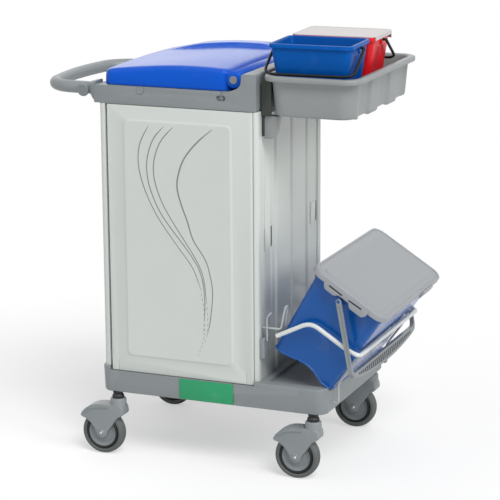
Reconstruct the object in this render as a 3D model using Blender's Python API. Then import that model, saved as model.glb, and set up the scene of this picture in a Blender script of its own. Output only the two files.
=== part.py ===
"""Housekeeping cart: moulded base on four swivel casters, panelled cabinet with a side
door, hinged blue lid, push handle, end tray with two buckets and a tilted mop box.

Frame: metres, +Z up, floor at z = 0, cart centred on y = 0.
X runs along the cart, push handle at -X, tray and mop box at +X.
"""
from math import cos, pi, radians, sin

import bmesh
import bpy
from mathutils import Matrix, Vector

# ---------------------------------------------------------------- driving sizes
GAP = 0.0004

BASE_X0, BASE_X1 = -0.323, 0.304
BASE_HY = 0.235
BASE_Z0, BASE_Z1 = 0.173, 0.242
DECK_Z = 0.232
FLOOR_Z = 0.2440

CAB_X0, CAB_X1 = -0.313, 0.122
CAB_HY = 0.228
CAB_Z1 = 0.936
POST_LEFT, POST_RIGHT = 0.017, 0.0120
DOOR_T = 0.016
DOOR_AXIS = (0.1020, -0.2232)

FRAME_X0, FRAME_X1 = -0.326, 0.118
FRAME_Z1 = 0.982
BAR_Z1 = 1.029
LID_AXIS = (0.0545, 1.0120)
LID_BARREL = 0.0215
LID_X0 = -0.305
LID_HY = 0.217

HANDLE_Z = 0.968
HANDLE_R = 0.0160
HANDLE_HY = 0.197

WHEEL_R = 0.0585
WHEEL_W = 0.032
TRAIL = 0.0420
STEM_X = (-0.279, 0.267)
STEM_Y = 0.2213

TRAY_X0, TRAY_X1 = 0.134, 0.387
TRAY_HY, TRAY_MID = 0.2435, 0.0015
TRAY_Z0, TRAY_Z1 = 0.924, 1.030

BUCKET_Z0, BUCKET_Z1 = 0.9285, 1.107
BUCKET_HX, BUCKET_HY = 0.108, 0.0825
BUCKET_TURN = radians(2.6)
BLUE_AT = (0.2487, -0.131)
RED_AT = (0.2483, 0.0355)
BAIL_ARM = 0.109

TILT = radians(32.5)
LID_EDGE = Vector((0.271, 0.0, 0.560))
BOX_LEN = 0.224
BOX_HY, BOX_MID = 0.2400, 0.0015
BOX_DEPTH = 0.256
BOX_HINGE = (0.002, 0.012)
BAIL_PIVOT = (0.103, 0.029)
BAIL_DIR = Vector((0.179, 0.0, -0.984))

# The middle of the whole cart's footprint, on the floor. It is the origin of the finished cart.
FOOTPRINT_MID = Vector((-0.0240, 0.0015, 0.0))

# ---------------------------------------------------------------- colours
GREY = ("grey_plastic", (0.225, 0.245, 0.250), 0.45, 0.0)
SHELL = ("cabinet_shell", (0.560, 0.605, 0.560), 0.50, 0.0)
BLUE = ("lid_blue", (0.016, 0.090, 0.560), 0.25, 0.0)
BUCKET_BLUE = ("bucket_blue", (0.004, 0.075, 0.370), 0.35, 0.0)
BUCKET_RED = ("bucket_red", (0.600, 0.012, 0.016), 0.35, 0.0)
BOX_BLUE = ("box_blue", (0.014, 0.090, 0.300), 0.45, 0.0)
PALE = ("pale_grey", (0.370, 0.385, 0.395), 0.45, 0.0)
BLACK = ("black_plastic", (0.012, 0.014, 0.014), 0.45, 0.0)
WIRE = ("white_wire", (0.600, 0.640, 0.630), 0.35, 0.0)
BAIL_GREY = ("bail_grey", (0.290, 0.310, 0.310), 0.45, 0.0)
TREAD = ("grey_rubber", (0.200, 0.210, 0.205), 0.75, 0.0)
GREEN = ("green_plate", (0.016, 0.350, 0.155), 0.40, 0.0)


def clear_scene():
    for obj in list(bpy.data.objects):
        bpy.data.objects.remove(obj, do_unlink=True)


def material(name, spec):
    mat = bpy.data.materials.new(name)
    mat.use_nodes = True
    shader = mat.node_tree.nodes["Principled BSDF"]
    shader.inputs["Base Color"].default_value = (*spec[1], 1.0)
    shader.inputs["Roughness"].default_value = spec[2]
    shader.inputs["Metallic"].default_value = spec[3]
    mat.diffuse_color = (*spec[1], 1.0)
    return mat


def add(name, verts, faces, spec, origin=(0, 0, 0), smooth=False):
    """One closed body from world-space vertices, its origin placed on a joint axis."""
    origin = Vector(origin)
    mesh = bpy.data.meshes.new(name)
    mesh.from_pydata([Vector(v) - origin for v in verts], [], faces)
    bm = bmesh.new()
    bm.from_mesh(mesh)
    bmesh.ops.remove_doubles(bm, verts=bm.verts, dist=1e-6)
    bmesh.ops.recalc_face_normals(bm, faces=bm.faces)
    bm.to_mesh(mesh)
    bm.free()
    for poly in mesh.polygons:
        poly.use_smooth = smooth
    obj = bpy.data.objects.new(name, mesh)
    obj.location = origin - FOOTPRINT_MID
    bpy.context.collection.objects.link(obj)
    if spec is not None:
        mesh.materials.append(material(name + "_mat", spec))
    return obj


def cutter(name, verts, faces):
    obj = add(name, verts, faces, None)
    obj.hide_render = True
    obj.display_type = "WIRE"
    return obj


def boolean(obj, tool, operation="DIFFERENCE"):
    mod = obj.modifiers.new(operation.lower() + "_" + tool.name, "BOOLEAN")
    mod.operation = operation
    mod.solver = "EXACT"
    mod.object = tool
    tool.hide_render = True
    tool.display_type = "WIRE"


# ---------------------------------------------------------------- shape makers
def rounded(cx, cy, hx, hy, r, z, n=4):
    """Rounded rectangle in plan, counter-clockwise from the +X +Y corner."""
    loop = []
    corners = ((1, 1, 0.0), (-1, 1, pi / 2), (-1, -1, pi), (1, -1, 3 * pi / 2))
    for sx, sy, start in corners:
        for i in range(n + 1):
            a = start + (pi / 2) * i / n
            loop.append((cx + sx * (hx - r) + r * cos(a), cy + sy * (hy - r) + r * sin(a), z))
    return loop


def loft(loops):
    """Skin a stack of equal loops and cap both ends."""
    count = len(loops[0])
    verts = [p for loop in loops for p in loop]
    faces = []
    for k in range(len(loops) - 1):
        a, b = k * count, (k + 1) * count
        for i in range(count):
            j = (i + 1) % count
            faces.append((a + i, a + j, b + j, b + i))
    faces.append(tuple(reversed(range(count))))
    faces.append(tuple(range((len(loops) - 1) * count, len(loops) * count)))
    return verts, faces


def prism(outline, axis, lo, hi):
    """Extrude a 2-D outline: axis Y takes (x, z) pairs, Z takes (x, y), X takes (y, z)."""
    def place(p, q):
        return {"X": (q, p[0], p[1]), "Y": (p[0], q, p[1]), "Z": (p[0], p[1], q)}[axis]
    return loft([[place(p, lo) for p in outline], [place(p, hi) for p in outline]])


def block(x0, x1, y0, y1, z0, z1):
    return prism([(x0, y0), (x1, y0), (x1, y1), (x0, y1)], "Z", z0, z1)


def arc(cx, cy, r, a0, a1, n):
    """Points on an arc, angles in degrees."""
    steps = [radians(a0 + (a1 - a0) * i / n) for i in range(n + 1)]
    return [(cx + r * cos(a), cy + r * sin(a)) for a in steps]


def lathe(profile, at, axis="Z", seg=28):
    """Turn an (r, h) profile. Closed ring when no radius is zero, else a solid."""
    cx, cy, cz = at
    ring = min(r for r, _ in profile) > 1e-9

    def place(r, h, a):
        if axis == "Z":
            return (cx + r * cos(a), cy + r * sin(a), cz + h)
        return (cx + r * cos(a), cy + h, cz + r * sin(a))

    verts, faces = [], []
    for i in range(seg):
        a = 2 * pi * i / seg
        verts += [place(r, h, a) for r, h in profile]
    m = len(profile)
    pairs = m if ring else m - 1
    for i in range(seg):
        p, q = i * m, ((i + 1) % seg) * m
        for k in range(pairs):
            n = (k + 1) % m
            quad = [p + k, q + k, q + n, p + n]
            if not ring and profile[k][0] < 1e-9:
                quad = [p + k, q + n, p + n]
            elif not ring and profile[n][0] < 1e-9:
                quad = [p + k, q + k, p + n]
            faces.append(tuple(quad))
    return verts, faces


def sweep(path, section, side, closed=False):
    """Carry a flat section (across, along-side) down a path of points."""
    pts = [Vector(p) for p in path]
    side = Vector(side).normalized()
    loops = []
    for i, p in enumerate(pts):
        before = pts[i - 1] if i else pts[0]
        after = pts[i + 1] if i + 1 < len(pts) else pts[-1]
        tangent = (after - before).normalized()
        across = side.cross(tangent).normalized()
        lift = 1.0
        if 0 < i < len(pts) - 1:
            bend = (p - before).normalized().dot((after - p).normalized())
            lift = 1.0 / max(0.5, ((1 + bend) / 2) ** 0.5)
        loops.append([tuple(p + across * a * lift + side * s) for a, s in section])
    return loft(loops)


def tube(path, radius, seg=10):
    """Round bar along a path, with frames carried from point to point."""
    pts = [Vector(p) for p in path]
    first = (pts[1] - pts[0]).normalized()
    normal = first.orthogonal().normalized()
    loops = []
    last = first
    for i, p in enumerate(pts):
        before = pts[i - 1] if i else pts[0]
        after = pts[i + 1] if i + 1 < len(pts) else pts[-1]
        tangent = (after - before).normalized()
        normal = last.rotation_difference(tangent) @ normal
        normal = (normal - tangent * normal.dot(tangent)).normalized()
        last = tangent
        other = tangent.cross(normal)
        loops.append([tuple(p + normal * radius * cos(2 * pi * k / seg)
                            + other * radius * sin(2 * pi * k / seg)) for k in range(seg)])
    return loft(loops)


def smooth_path(points, radius, n=4):
    """Round the inner corners of a polyline."""
    pts = [Vector(p) for p in points]
    out = [pts[0]]
    for i in range(1, len(pts) - 1):
        into = (pts[i - 1] - pts[i])
        away = (pts[i + 1] - pts[i])
        reach = min(radius, into.length * 0.45, away.length * 0.45)
        a = pts[i] + into.normalized() * reach
        b = pts[i] + away.normalized() * reach
        for k in range(n + 1):
            t = k / n
            out.append(a * (1 - t) ** 2 + pts[i] * 2 * t * (1 - t) + b * t * t)
    out.append(pts[-1])
    return out


def turned(verts, centre, angle):
    """Turn vertices about a vertical line."""
    turn = Matrix.Rotation(angle, 4, "Z")
    mid = Vector((centre[0], centre[1], 0.0))
    return [tuple(turn @ (Vector(v) - mid) + mid) for v in verts]


def tilted(u, y, w):
    """Mop box coordinates: u down the lid, w into the box, y across it from its middle."""
    x = LID_EDGE.x + u * cos(TILT) - w * sin(TILT)
    z = LID_EDGE.z - u * sin(TILT) - w * cos(TILT)
    return (x, y + BOX_MID, z)


# ---------------------------------------------------------------- base
def build_base():
    mid = (BASE_X0 + BASE_X1) / 2
    half = (BASE_X1 - BASE_X0) / 2
    low = BASE_Z0 + 0.005
    loops = [
        rounded(mid, 0, half - 0.007, BASE_HY - 0.007, 0.026, BASE_Z0),
        rounded(mid, 0, half - 0.002, BASE_HY - 0.002, 0.029, low),
        rounded(mid, 0, half, BASE_HY, 0.030, BASE_Z1 - 0.003),
        rounded(mid, 0, half - 0.003, BASE_HY - 0.003, 0.027, BASE_Z1),
    ]
    base = add("base_platform", *loft(loops), GREY)
    for side, tag in ((-1, "front"), (1, "rear")):
        y0, y1 = sorted((side * 0.2125, side * 0.260))
        cut = block(CAB_X0 + POST_LEFT, CAB_X1 - POST_RIGHT + GAP, y0, y1, 0.2315, 0.260)
        boolean(base, cutter("cut_ledge_" + tag, *cut))
    floor = loft([rounded(-0.098, 0, 0.194, 0.205, 0.012, 0.2390),
                  rounded(-0.098, 0, 0.194, 0.205, 0.012, FLOOR_Z)])
    boolean(base, cutter("tool_cabinet_floor", *floor), "UNION")
    deck = loft([rounded(0.230, 0, 0.092, 0.212, 0.012, DECK_Z),
                 rounded(0.230, 0, 0.092, 0.212, 0.012, 0.260)])
    boolean(base, cutter("cut_deck", *deck))
    under = loft([rounded(-0.007, 0, 0.236, 0.190, 0.020, 0.160),
                  rounded(-0.007, 0, 0.236, 0.190, 0.020, 0.2275)])
    boolean(base, cutter("cut_under", *under))
    for x in STEM_X:
        for y in (-STEM_Y, STEM_Y):
            hole = lathe([(0, -0.02), (0.0064, -0.02), (0.0064, 0.035), (0, 0.035)],
                         (x, y, BASE_Z0), "Z", 16)
            boolean(base, cutter("cut_stem_%d_%d" % (x > 0, y > 0), *hole))
    pivot = lathe([(0, 0.2200), (0.0035, 0.2200), (0.0035, 0.240), (0, 0.240)],
                  (*DOOR_AXIS, 0), "Z", 12)
    boolean(base, cutter("cut_door_pivot", *pivot))
    label = block(-0.097, 0.054, -BASE_HY - 0.0016, -BASE_HY - 0.0001, 0.1765, 0.2310)
    add("base_label", *label, GREEN)


# ---------------------------------------------------------------- casters
def fork_outline():
    """Side outline of the hooded fork about the axle (x forward is the stem side)."""
    hood = [(-0.062, 0.0415), (-0.055, 0.054), (-0.042, 0.066), (-0.026, 0.0745),
            (-0.006, 0.0785), (0.026, 0.0785)]
    front = [(0.056, 0.0785), (0.060, 0.074), (0.063, 0.058), (0.060, 0.052), (0.046, 0.045)]
    toe = [(0.030, 0.018)] + arc(0, 0, 0.0150, 20, -200, 10) + [(-0.030, 0.024), (-0.047, 0.037)]
    return hood + front + toe


def build_caster(tag, x, y):
    hub = (x - TRAIL, y, WHEEL_R)
    wide = WHEEL_W / 2 + 0.0052
    outline = [(hub[0] + px, hub[2] + pz) for px, pz in fork_outline()]
    fork = add("fork_" + tag, *prism(outline, "Y", y - wide, y + wide), GREY, (x, y, 0.14))
    inner = WHEEL_W / 2 + 0.0015
    slot = lathe([(0, -inner), (0.0610, -inner), (0.0610, inner), (0, inner)], hub, "Y", 32)
    boolean(fork, cutter("cut_slot_" + tag, *slot))
    throat = block(hub[0] - 0.0610, hub[0] + 0.0610, y - inner, y + inner, -0.02, hub[2])
    boolean(fork, cutter("cut_throat_" + tag, *throat))
    body = lathe([(0, 0.1225), (0.0205, 0.1225), (0.0205, 0.150), (0.0185, 0.155), (0, 0.155)],
                 (x, y, 0), "Z", 24)
    boolean(fork, cutter("tool_housing_" + tag, *body), "UNION")
    pin = lathe([(0, -wide + 0.001), (0.0048, -wide + 0.001), (0.0048, wide - 0.001),
                 (0, wide - 0.001)], hub, "Y", 16)
    boolean(fork, cutter("tool_pin_" + tag, *pin), "UNION")
    stem = [(0, 0.1556), (0.0150, 0.1556), (0.0150, 0.1640), (0.0125, 0.1670),
            (0.0125, BASE_Z0 - GAP), (0.0060, BASE_Z0 - GAP), (0.0060, 0.2040), (0, 0.2040)]
    add("stem_" + tag, *lathe(stem, (x, y, 0), "Z", 20), BLACK, (x, y, 0.14), True)
    half = WHEEL_W / 2
    tyre = [(0.0460, -half + 0.001), (0.0505, -half), (0.0555, -half + 0.003), (0.0585, -half + 0.009),
            (0.0585, half - 0.009), (0.0555, half - 0.003), (0.0505, half), (0.0460, half - 0.001)]
    add("tread_" + tag, *lathe(tyre, hub, "Y", 32), TREAD, hub, True)
    rim = [(0.0054, -half), (0.0380, -half), (0.0410, -half + 0.002), (0.0456, -half + 0.001),
           (0.0456, half - 0.001), (0.0410, half - 0.002), (0.0380, half), (0.0054, half)]
    add("rim_" + tag, *lathe(rim, hub, "Y", 32), BLACK, hub, True)


# ---------------------------------------------------------------- cabinet
def post_outline(sx, sy):
    """Plan of one corner post, outer corner rounded."""
    ox = CAB_X1 if sx > 0 else CAB_X0
    oy = sy * CAB_HY
    r = 0.011
    inner_x = ox - sx * (POST_RIGHT if sx > 0 else POST_LEFT)
    inner_y = oy - sy * 0.030
    turn = arc(0, 0, r, 0, 90, 4)
    curve = [(ox - sx * (r - px), oy - sy * (r - py)) for px, py in turn]
    return [(inner_x, inner_y), (ox, inner_y)] + curve + [(inner_x, oy)]


def build_cabinet():
    for sx, sy, tag in ((-1, -1, "fl"), (1, -1, "fr"), (-1, 1, "bl"), (1, 1, "br")):
        outline = post_outline(sx, sy)
        shape = prism(outline, "Z", BASE_Z1 + GAP, CAB_Z1 - GAP)
        add("post_" + tag, *shape, SHELL)
    x0, x1 = CAB_X0 + POST_LEFT + 0.0055, CAB_X1 - POST_RIGHT - GAP
    lo, hi = 0.2335, CAB_Z1 - 0.0015
    y0 = -CAB_HY - 0.002
    y1 = y0 + DOOR_T
    knuckle = DOOR_AXIS[1] - y0
    plan = [(x0, y0 + 0.003), (x0 + 0.003, y0)] + arc(*DOOR_AXIS, knuckle, -90, 0, 4)
    plan += [(DOOR_AXIS[0] + knuckle, y1 - 0.003), (DOOR_AXIS[0] + knuckle - 0.003, y1), (x0, y1)]
    door = add("side_door", *prism(plan, "Z", lo, hi), SHELL, (*DOOR_AXIS, 0.6))
    pins = lathe([(0, 0.2225), (0.0030, 0.2225), (0.0030, 0.9410), (0, 0.9410)],
                 (*DOOR_AXIS, 0), "Z", 12)
    boolean(door, cutter("tool_door_pins", *pins), "UNION")
    rear = [(CAB_X0 + POST_LEFT + GAP, -y0), (CAB_X0 + POST_LEFT + GAP, -y1), (x1, -y1), (x1, -y0)]
    add("side_panel_rear", *prism(rear, "Z", lo, hi), SHELL)
    left = block(CAB_X0 + 0.001, CAB_X0 + 0.009, -0.1976, 0.1976, BASE_Z1 + GAP, CAB_Z1 - GAP)
    add("end_panel_left", *left, SHELL)
    face, back = CAB_X1 - 0.003, CAB_X1 - 0.014
    plan = [(back, -0.1976), (face, -0.1976)]
    for y in (-0.125, -0.010, 0.100):
        plan += [(face, y - 0.006), (face - 0.005, y - 0.003), (face - 0.005, y + 0.003), (face, y + 0.006)]
    plan += [(face, 0.1976), (back, 0.1976)]
    add("end_panel_right", *prism(plan, "Z", BASE_Z1 + GAP, CAB_Z1 - GAP), SHELL)


# ---------------------------------------------------------------- top frame and handle
def build_top_frame():
    ax, az = LID_AXIS
    outline = [(FRAME_X0, CAB_Z1 + 0.003), (FRAME_X0 + 0.003, CAB_Z1), (FRAME_X1 - 0.003, CAB_Z1),
               (FRAME_X1, CAB_Z1 + 0.003), (FRAME_X1, BAR_Z1 - 0.008), (FRAME_X1 - 0.002, BAR_Z1 - 0.003),
               (FRAME_X1 - 0.008, BAR_Z1), (0.084, BAR_Z1), (ax + 0.0238, BAR_Z1 - 0.004)]
    outline += [(ax + px, az + pz) for px, pz in arc(0, 0, 0.0235, 0, -75, 6)]
    outline += [(ax - 0.012, FRAME_Z1)]
    outline += [(FRAME_X0 + 0.004, FRAME_Z1), (FRAME_X0, FRAME_Z1 - 0.004)]
    frame = add("top_frame", *prism(outline, "Y", -CAB_HY, CAB_HY), GREY)
    mouth = loft([rounded(-0.128, 0, 0.160, 0.185, 0.020, 0.920),
                  rounded(-0.128, 0, 0.160, 0.185, 0.020, 0.995)])
    boolean(frame, cutter("cut_mouth", *mouth))
    pivot = lathe([(0, 0.930), (0.0035, 0.930), (0.0035, 0.9430), (0, 0.9430)],
                  (*DOOR_AXIS, 0), "Z", 12)
    boolean(frame, cutter("cut_frame_pivot", *pivot))
    plug = [(0, 0), (0.0085, 0), (0.0085, -0.002), (0.0070, -0.003), (0, -0.003)]
    at = (-0.196, -CAB_HY - 0.0001, 0.9735)
    add("frame_plug", *lathe(plug, at, "Y", 20), GREY, at, True)
    latch = [(0.002, 0.9590), (0.036, 0.9590), (0.042, 0.9650), (0.042, 0.9750),
             (0.036, 0.9800), (0.008, 0.9800), (0.002, 0.9740)]
    add("frame_latch", *prism(latch, "Y", -CAB_HY - 0.0065, -CAB_HY - 0.0001), GREY)


def build_handle():
    y = HANDLE_HY
    path = [(-0.3453, -y, HANDLE_Z), (-0.399, -y, HANDLE_Z)]
    centre = (-0.399, -y + 0.082)
    bend = arc(centre[0], centre[1], 0.082, -90, -166, 7)[1:]
    path += [(px, py, HANDLE_Z) for px, py in bend]
    bow = [(-0.4885, -0.060, HANDLE_Z), (-0.4915, 0.0, HANDLE_Z)]
    half = path + bow[:1]
    full = half + [bow[1]] + [(px, -py, pz) for px, py, pz in reversed(half)]
    add("handle_bow", *tube(full, HANDLE_R, 14), GREY, smooth=True)
    for side, tag in ((-1, "front"), (1, "rear")):
        y0, y1 = sorted((side * 0.174, side * 0.222))
        socket = prism([(FRAME_X0 - GAP, 0.9385), (FRAME_X0 - GAP, 0.9895), (-0.3390, 0.9895),
                        (-0.3450, 0.9830), (-0.3450, 0.9460), (-0.3390, 0.9385)], "Y", y0, y1)
        add("handle_socket_" + tag, *socket, GREY)
        cap = [(0, 0), (0.0125, 0), (0.0155, -0.002), (0.0155, -0.0065), (0.0135, -0.0085), (0, -0.0085)]
        cap = [(r, -side * h) for r, h in cap]
        at = (-0.3610, side * (y + HANDLE_R + 0.0003), 0.9640)
        add("handle_cap_" + tag, *lathe(cap, at, "Y", 20), GREY, at, True)


# ---------------------------------------------------------------- main lid
CREST = ((-0.310, 1.0150), (-0.262, 1.0220), (-0.155, 1.0345), (-0.092, 1.0385),
         (-0.009, 1.0375), (0.030, 1.0340), (0.060, 1.0300))


def lid_top(x, y):
    """Crown of the lid: arched along the cart, with a raised band along the rear edge."""
    z = CREST[-1][1]
    for (x0, z0), (x1, z1) in zip(CREST, CREST[1:]):
        if x0 <= x <= x1:
            z = z0 + (z1 - z0) * (x - x0) / (x1 - x0)
            break
    z += 0.004 * (1.0 - (abs(y) / LID_HY) ** 2)
    band = min(1.0, max(0.0, (y - 0.125) / 0.016))
    reach = min(1.0, max(0.0, (x + 0.285) / 0.110)) * min(1.0, max(0.0, (0.052 - x) / 0.050))
    return z + 0.0095 * band * reach


def lid_loop(inset, drop):
    """Plan loop of the lid at an inset, held a drop below the crown."""
    x0, x1 = LID_X0 + inset, LID_AXIS[0] - 0.0135 - inset
    hy, r = LID_HY - inset, max(0.004, 0.022 - inset * 0.5)
    plan = []
    corner = ((x1 - r, hy - r, 0), (x0 + r, hy - r, 90), (x0 + r, -hy + r, 180), (x1 - r, -hy + r, 270))
    for k, (cx, cy, start) in enumerate(corner):
        plan += arc(cx, cy, r, start, start + 90, 3)
        ax, ay = plan[-1]
        nx, ny, turn = corner[(k + 1) % 4]
        bx, by = nx + r * cos(radians(turn)), ny + r * sin(radians(turn))
        steps = 8 if k % 2 == 0 else 10
        plan += [(ax + (bx - ax) * i / steps, ay + (by - ay) * i / steps) for i in range(1, steps)]
    if drop is None:
        return [(x, y, FRAME_Z1 + 0.0015) for x, y in plan]
    return [(x, y, lid_top(x, y) - drop) for x, y in plan]


def build_lid():
    ax, az = LID_AXIS
    outer = [lid_loop(0.0, None), lid_loop(0.0, 0.020), lid_loop(0.0025, 0.009), lid_loop(0.008, 0.0025),
             lid_loop(0.018, 0.0003), lid_loop(0.050, 0.0), lid_loop(0.082, 0.0), lid_loop(0.098, 0.0),
             lid_loop(0.150, 0.0)]
    inner = [lid_loop(0.150, 0.0040), lid_loop(0.098, 0.0040), lid_loop(0.082, 0.0042), lid_loop(0.050, 0.0045),
             lid_loop(0.020, 0.0050), lid_loop(0.008, 0.0110), lid_loop(0.005, None)]
    verts, faces = skin_shell(outer, inner)
    lid = add("lid", verts, faces, BLUE, (ax, 0, az), True)
    r = LID_BARREL
    barrel = lathe([(0, -LID_HY), (r - 0.002, -LID_HY), (r, -LID_HY + 0.003),
                    (r, LID_HY - 0.003), (r - 0.002, LID_HY), (0, LID_HY)], (ax, 0, az), "Y", 32)
    boolean(lid, cutter("tool_lid_barrel", *barrel), "UNION")
    bore = lathe([(0, -0.3), (0.0065, -0.3), (0.0065, 0.3), (0, 0.3)], (ax, 0, az), "Y", 20)
    boolean(lid, cutter("cut_lid_bore", *bore))
    for side, tag in ((-1, "front"), (1, "rear")):
        pin = [(0, side * 0.150), (0.0060, side * 0.150), (0.0060, side * (LID_HY + GAP)),
               (0.0130, side * (LID_HY + GAP)), (0.0115, side * (LID_HY + 0.004)), (0, side * (LID_HY + 0.004))]
        add("lid_pin_" + tag, *lathe(pin, (ax, 0, az), "Y", 20), GREY, (ax, 0, az), True)


def skin_shell(outer, inner):
    """Outer loops up to a crown face, inner loops back down, joined at the lower lip."""
    loops = [inner[-1]] + outer
    count = len(loops[0])
    verts, faces = [], []
    for loop in loops:
        verts += loop
    for k in range(len(loops) - 1):
        a, b = k * count, (k + 1) * count
        faces += [(a + i, a + (i + 1) % count, b + (i + 1) % count, b + i) for i in range(count)]
    crown = (len(loops) - 1) * count
    faces.append(tuple(range(crown, crown + count)))
    start = len(verts)
    for loop in inner:
        verts += loop
    for k in range(len(inner) - 1):
        a, b = start + k * count, start + (k + 1) * count
        faces += [(a + i, a + (i + 1) % count, b + (i + 1) % count, b + i) for i in range(count)]
    faces.append(tuple(reversed(range(start, start + count))))
    return verts, faces


# ---------------------------------------------------------------- tray and its support
def build_tray():
    cx = (TRAY_X0 + TRAY_X1) / 2
    hx = (TRAY_X1 - TRAY_X0) / 2
    hy = TRAY_HY
    rim = TRAY_Z1 - 0.0145
    loops = [
        rounded(cx, TRAY_MID, hx - 0.030, hy - 0.030, 0.030, TRAY_Z0, 5),
        rounded(cx, TRAY_MID, hx - 0.022, hy - 0.023, 0.036, TRAY_Z0 + 0.006, 5),
        rounded(cx, TRAY_MID, hx - 0.015, hy - 0.015, 0.036, rim, 5),
        rounded(cx, TRAY_MID, hx - 0.004, hy - 0.004, 0.040, rim, 5),
        rounded(cx, TRAY_MID, hx, hy, 0.042, rim + 0.003, 5),
        rounded(cx, TRAY_MID, hx, hy, 0.042, TRAY_Z1 - 0.003, 5),
        rounded(cx, TRAY_MID, hx - 0.003, hy - 0.003, 0.040, TRAY_Z1, 5),
        rounded(cx, TRAY_MID, hx - 0.0145, hy - 0.0145, 0.034, TRAY_Z1, 5),
        rounded(cx, TRAY_MID, hx - 0.0175, hy - 0.0175, 0.034, TRAY_Z1 - 0.005, 5),
        rounded(cx, TRAY_MID, hx - 0.0252, hy - 0.0262, 0.032, TRAY_Z0 + 0.007, 5),
        rounded(cx, TRAY_MID, hx - 0.031, hy - 0.031, 0.028, TRAY_Z0 + 0.004, 5),
    ]
    add("tray", *loft(loops), GREY, (cx, TRAY_MID, TRAY_Z0))
    rail = block(CAB_X1 + GAP, CAB_X1 + 0.0055, -0.205, 0.205, 0.872, 1.006)
    rail = add("tray_rail", *rail, GREY)
    for side, tag in ((-1, "front"), (1, "rear")):
        y0, y1 = sorted((side * 0.2015, side * 0.2050))
        flange = block(CAB_X1 + 0.0030, 0.1495, y0, y1, 0.925, 1.0115)
        boolean(rail, cutter("tool_rail_flange_" + tag, *flange), "UNION")
    for side, tag in ((-1, "front"), (1, "rear")):
        y0, y1 = sorted((side * 0.172, side * 0.198))
        wedge = [(CAB_X1 + 0.006, 0.866), (0.1490, 0.866), (0.1515, 0.872), (0.1570, 0.880),
                 (0.1655, TRAY_Z0 - GAP), (CAB_X1 + 0.006, TRAY_Z0 - GAP)]
        add("tray_gusset_" + tag, *prism(wedge, "Y", y0, y1), GREY)


# ---------------------------------------------------------------- buckets
def bucket_shape(at):
    x, y = at
    hx, hy = BUCKET_HX, BUCKET_HY
    z0, z1 = BUCKET_Z0, BUCKET_Z1
    loops = [
        rounded(x, y, hx - 0.030, hy - 0.0255, 0.010, z0),
        rounded(x, y, hx - 0.028, hy - 0.0235, 0.012, z0 + 0.003),
        rounded(x, y, hx - 0.0140, hy - 0.0120, 0.014, 1.032),
        rounded(x, y, hx - 0.005, hy - 0.006, 0.015, z1 - 0.013),
        rounded(x, y, hx, hy, 0.017, z1 - 0.011),
        rounded(x, y, hx, hy, 0.017, z1 - 0.002),
        rounded(x, y, hx - 0.002, hy - 0.002, 0.015, z1),
        rounded(x, y, hx - 0.006, hy - 0.007, 0.012, z1),
        rounded(x, y, hx - 0.0080, hy - 0.0090, 0.012, z1 - 0.006),
        rounded(x, y, hx - 0.0168, hy - 0.0150, 0.012, 1.032),
        rounded(x, y, hx - 0.0310, hy - 0.0265, 0.009, z0 + 0.003),
    ]
    verts, faces = loft(loops)
    return turned(verts, at, BUCKET_TURN), faces


def bail_shape(at, toward, drop):
    """Wire bail lying down on one long side of a bucket."""
    x, y = at
    z = BUCKET_Z1 - 0.0135
    hx = BUCKET_HX + 0.0072
    reach = toward * BAIL_ARM * cos(drop)
    fall = -BAIL_ARM * sin(drop)
    pts = []
    for k, span in ((0.0, -1), (1.0, -1), (1.0, 1), (0.0, 1)):
        pts.append((x + span * hx, y + reach * k, z + fall * k))
    path = smooth_path(pts, 0.028, 5)
    verts, faces = tube(path, 0.0036, 8)
    return turned(verts, at, BUCKET_TURN), faces


def build_buckets():
    z = BUCKET_Z1 - 0.0135
    for tag, at, spec, toward in (("blue", BLUE_AT, BUCKET_BLUE, -1), ("red", RED_AT, BUCKET_RED, 1)):
        add("bucket_" + tag, *bucket_shape(at), spec, (*at, BUCKET_Z0), False)
        add("bucket_bail_" + tag, *bail_shape(at, toward, radians(33.0)), BLACK, (*at, z), True)
    x, y = RED_AT
    # Cover: a sheet over the rim, lip down the two ends, deeper lip down the far side,
    # open toward the other bucket.
    top = BUCKET_Z1 + 0.0018
    mid, hy = y + 0.0017, BUCKET_HY + 0.0003
    hx = BUCKET_HX + 0.0020
    verts, faces = loft([rounded(x, mid, hx, hy, 0.017, BUCKET_Z1 - 0.0190),
                         rounded(x, mid, hx, hy, 0.017, top - 0.0012),
                         rounded(x, mid, hx - 0.0012, hy - 0.0012, 0.0158, top)])
    cover = add("bucket_lid_red", turned(verts, RED_AT, BUCKET_TURN), faces, PALE, (x, y, BUCKET_Z1))
    verts, faces = loft([rounded(x, y - 0.040, BUCKET_HX + GAP, BUCKET_HY + GAP + 0.040, 0.0165, z)
                         for z in (BUCKET_Z1 - 0.040, BUCKET_Z1 + GAP)])
    boolean(cover, cutter("cut_rim_room", turned(verts, RED_AT, BUCKET_TURN), faces))
    verts, faces = block(x - 0.15, x + 0.15, y - 0.15, y + BUCKET_HY - 0.0150,
                         BUCKET_Z1 - 0.040, BUCKET_Z1 - 0.0085)
    boolean(cover, cutter("cut_short_lip", turned(verts, RED_AT, BUCKET_TURN), faces))


# ---------------------------------------------------------------- mop box
def tilt_loop(u0, u1, hy, r, w, n=4):
    """Rounded rectangle parallel to the lid at depth w."""
    cu, hu = (u0 + u1) / 2, (u1 - u0) / 2
    return [tilted(u, y, w) for u, y, _ in rounded(cu, 0, hu, hy, r, 0, n)]


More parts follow.
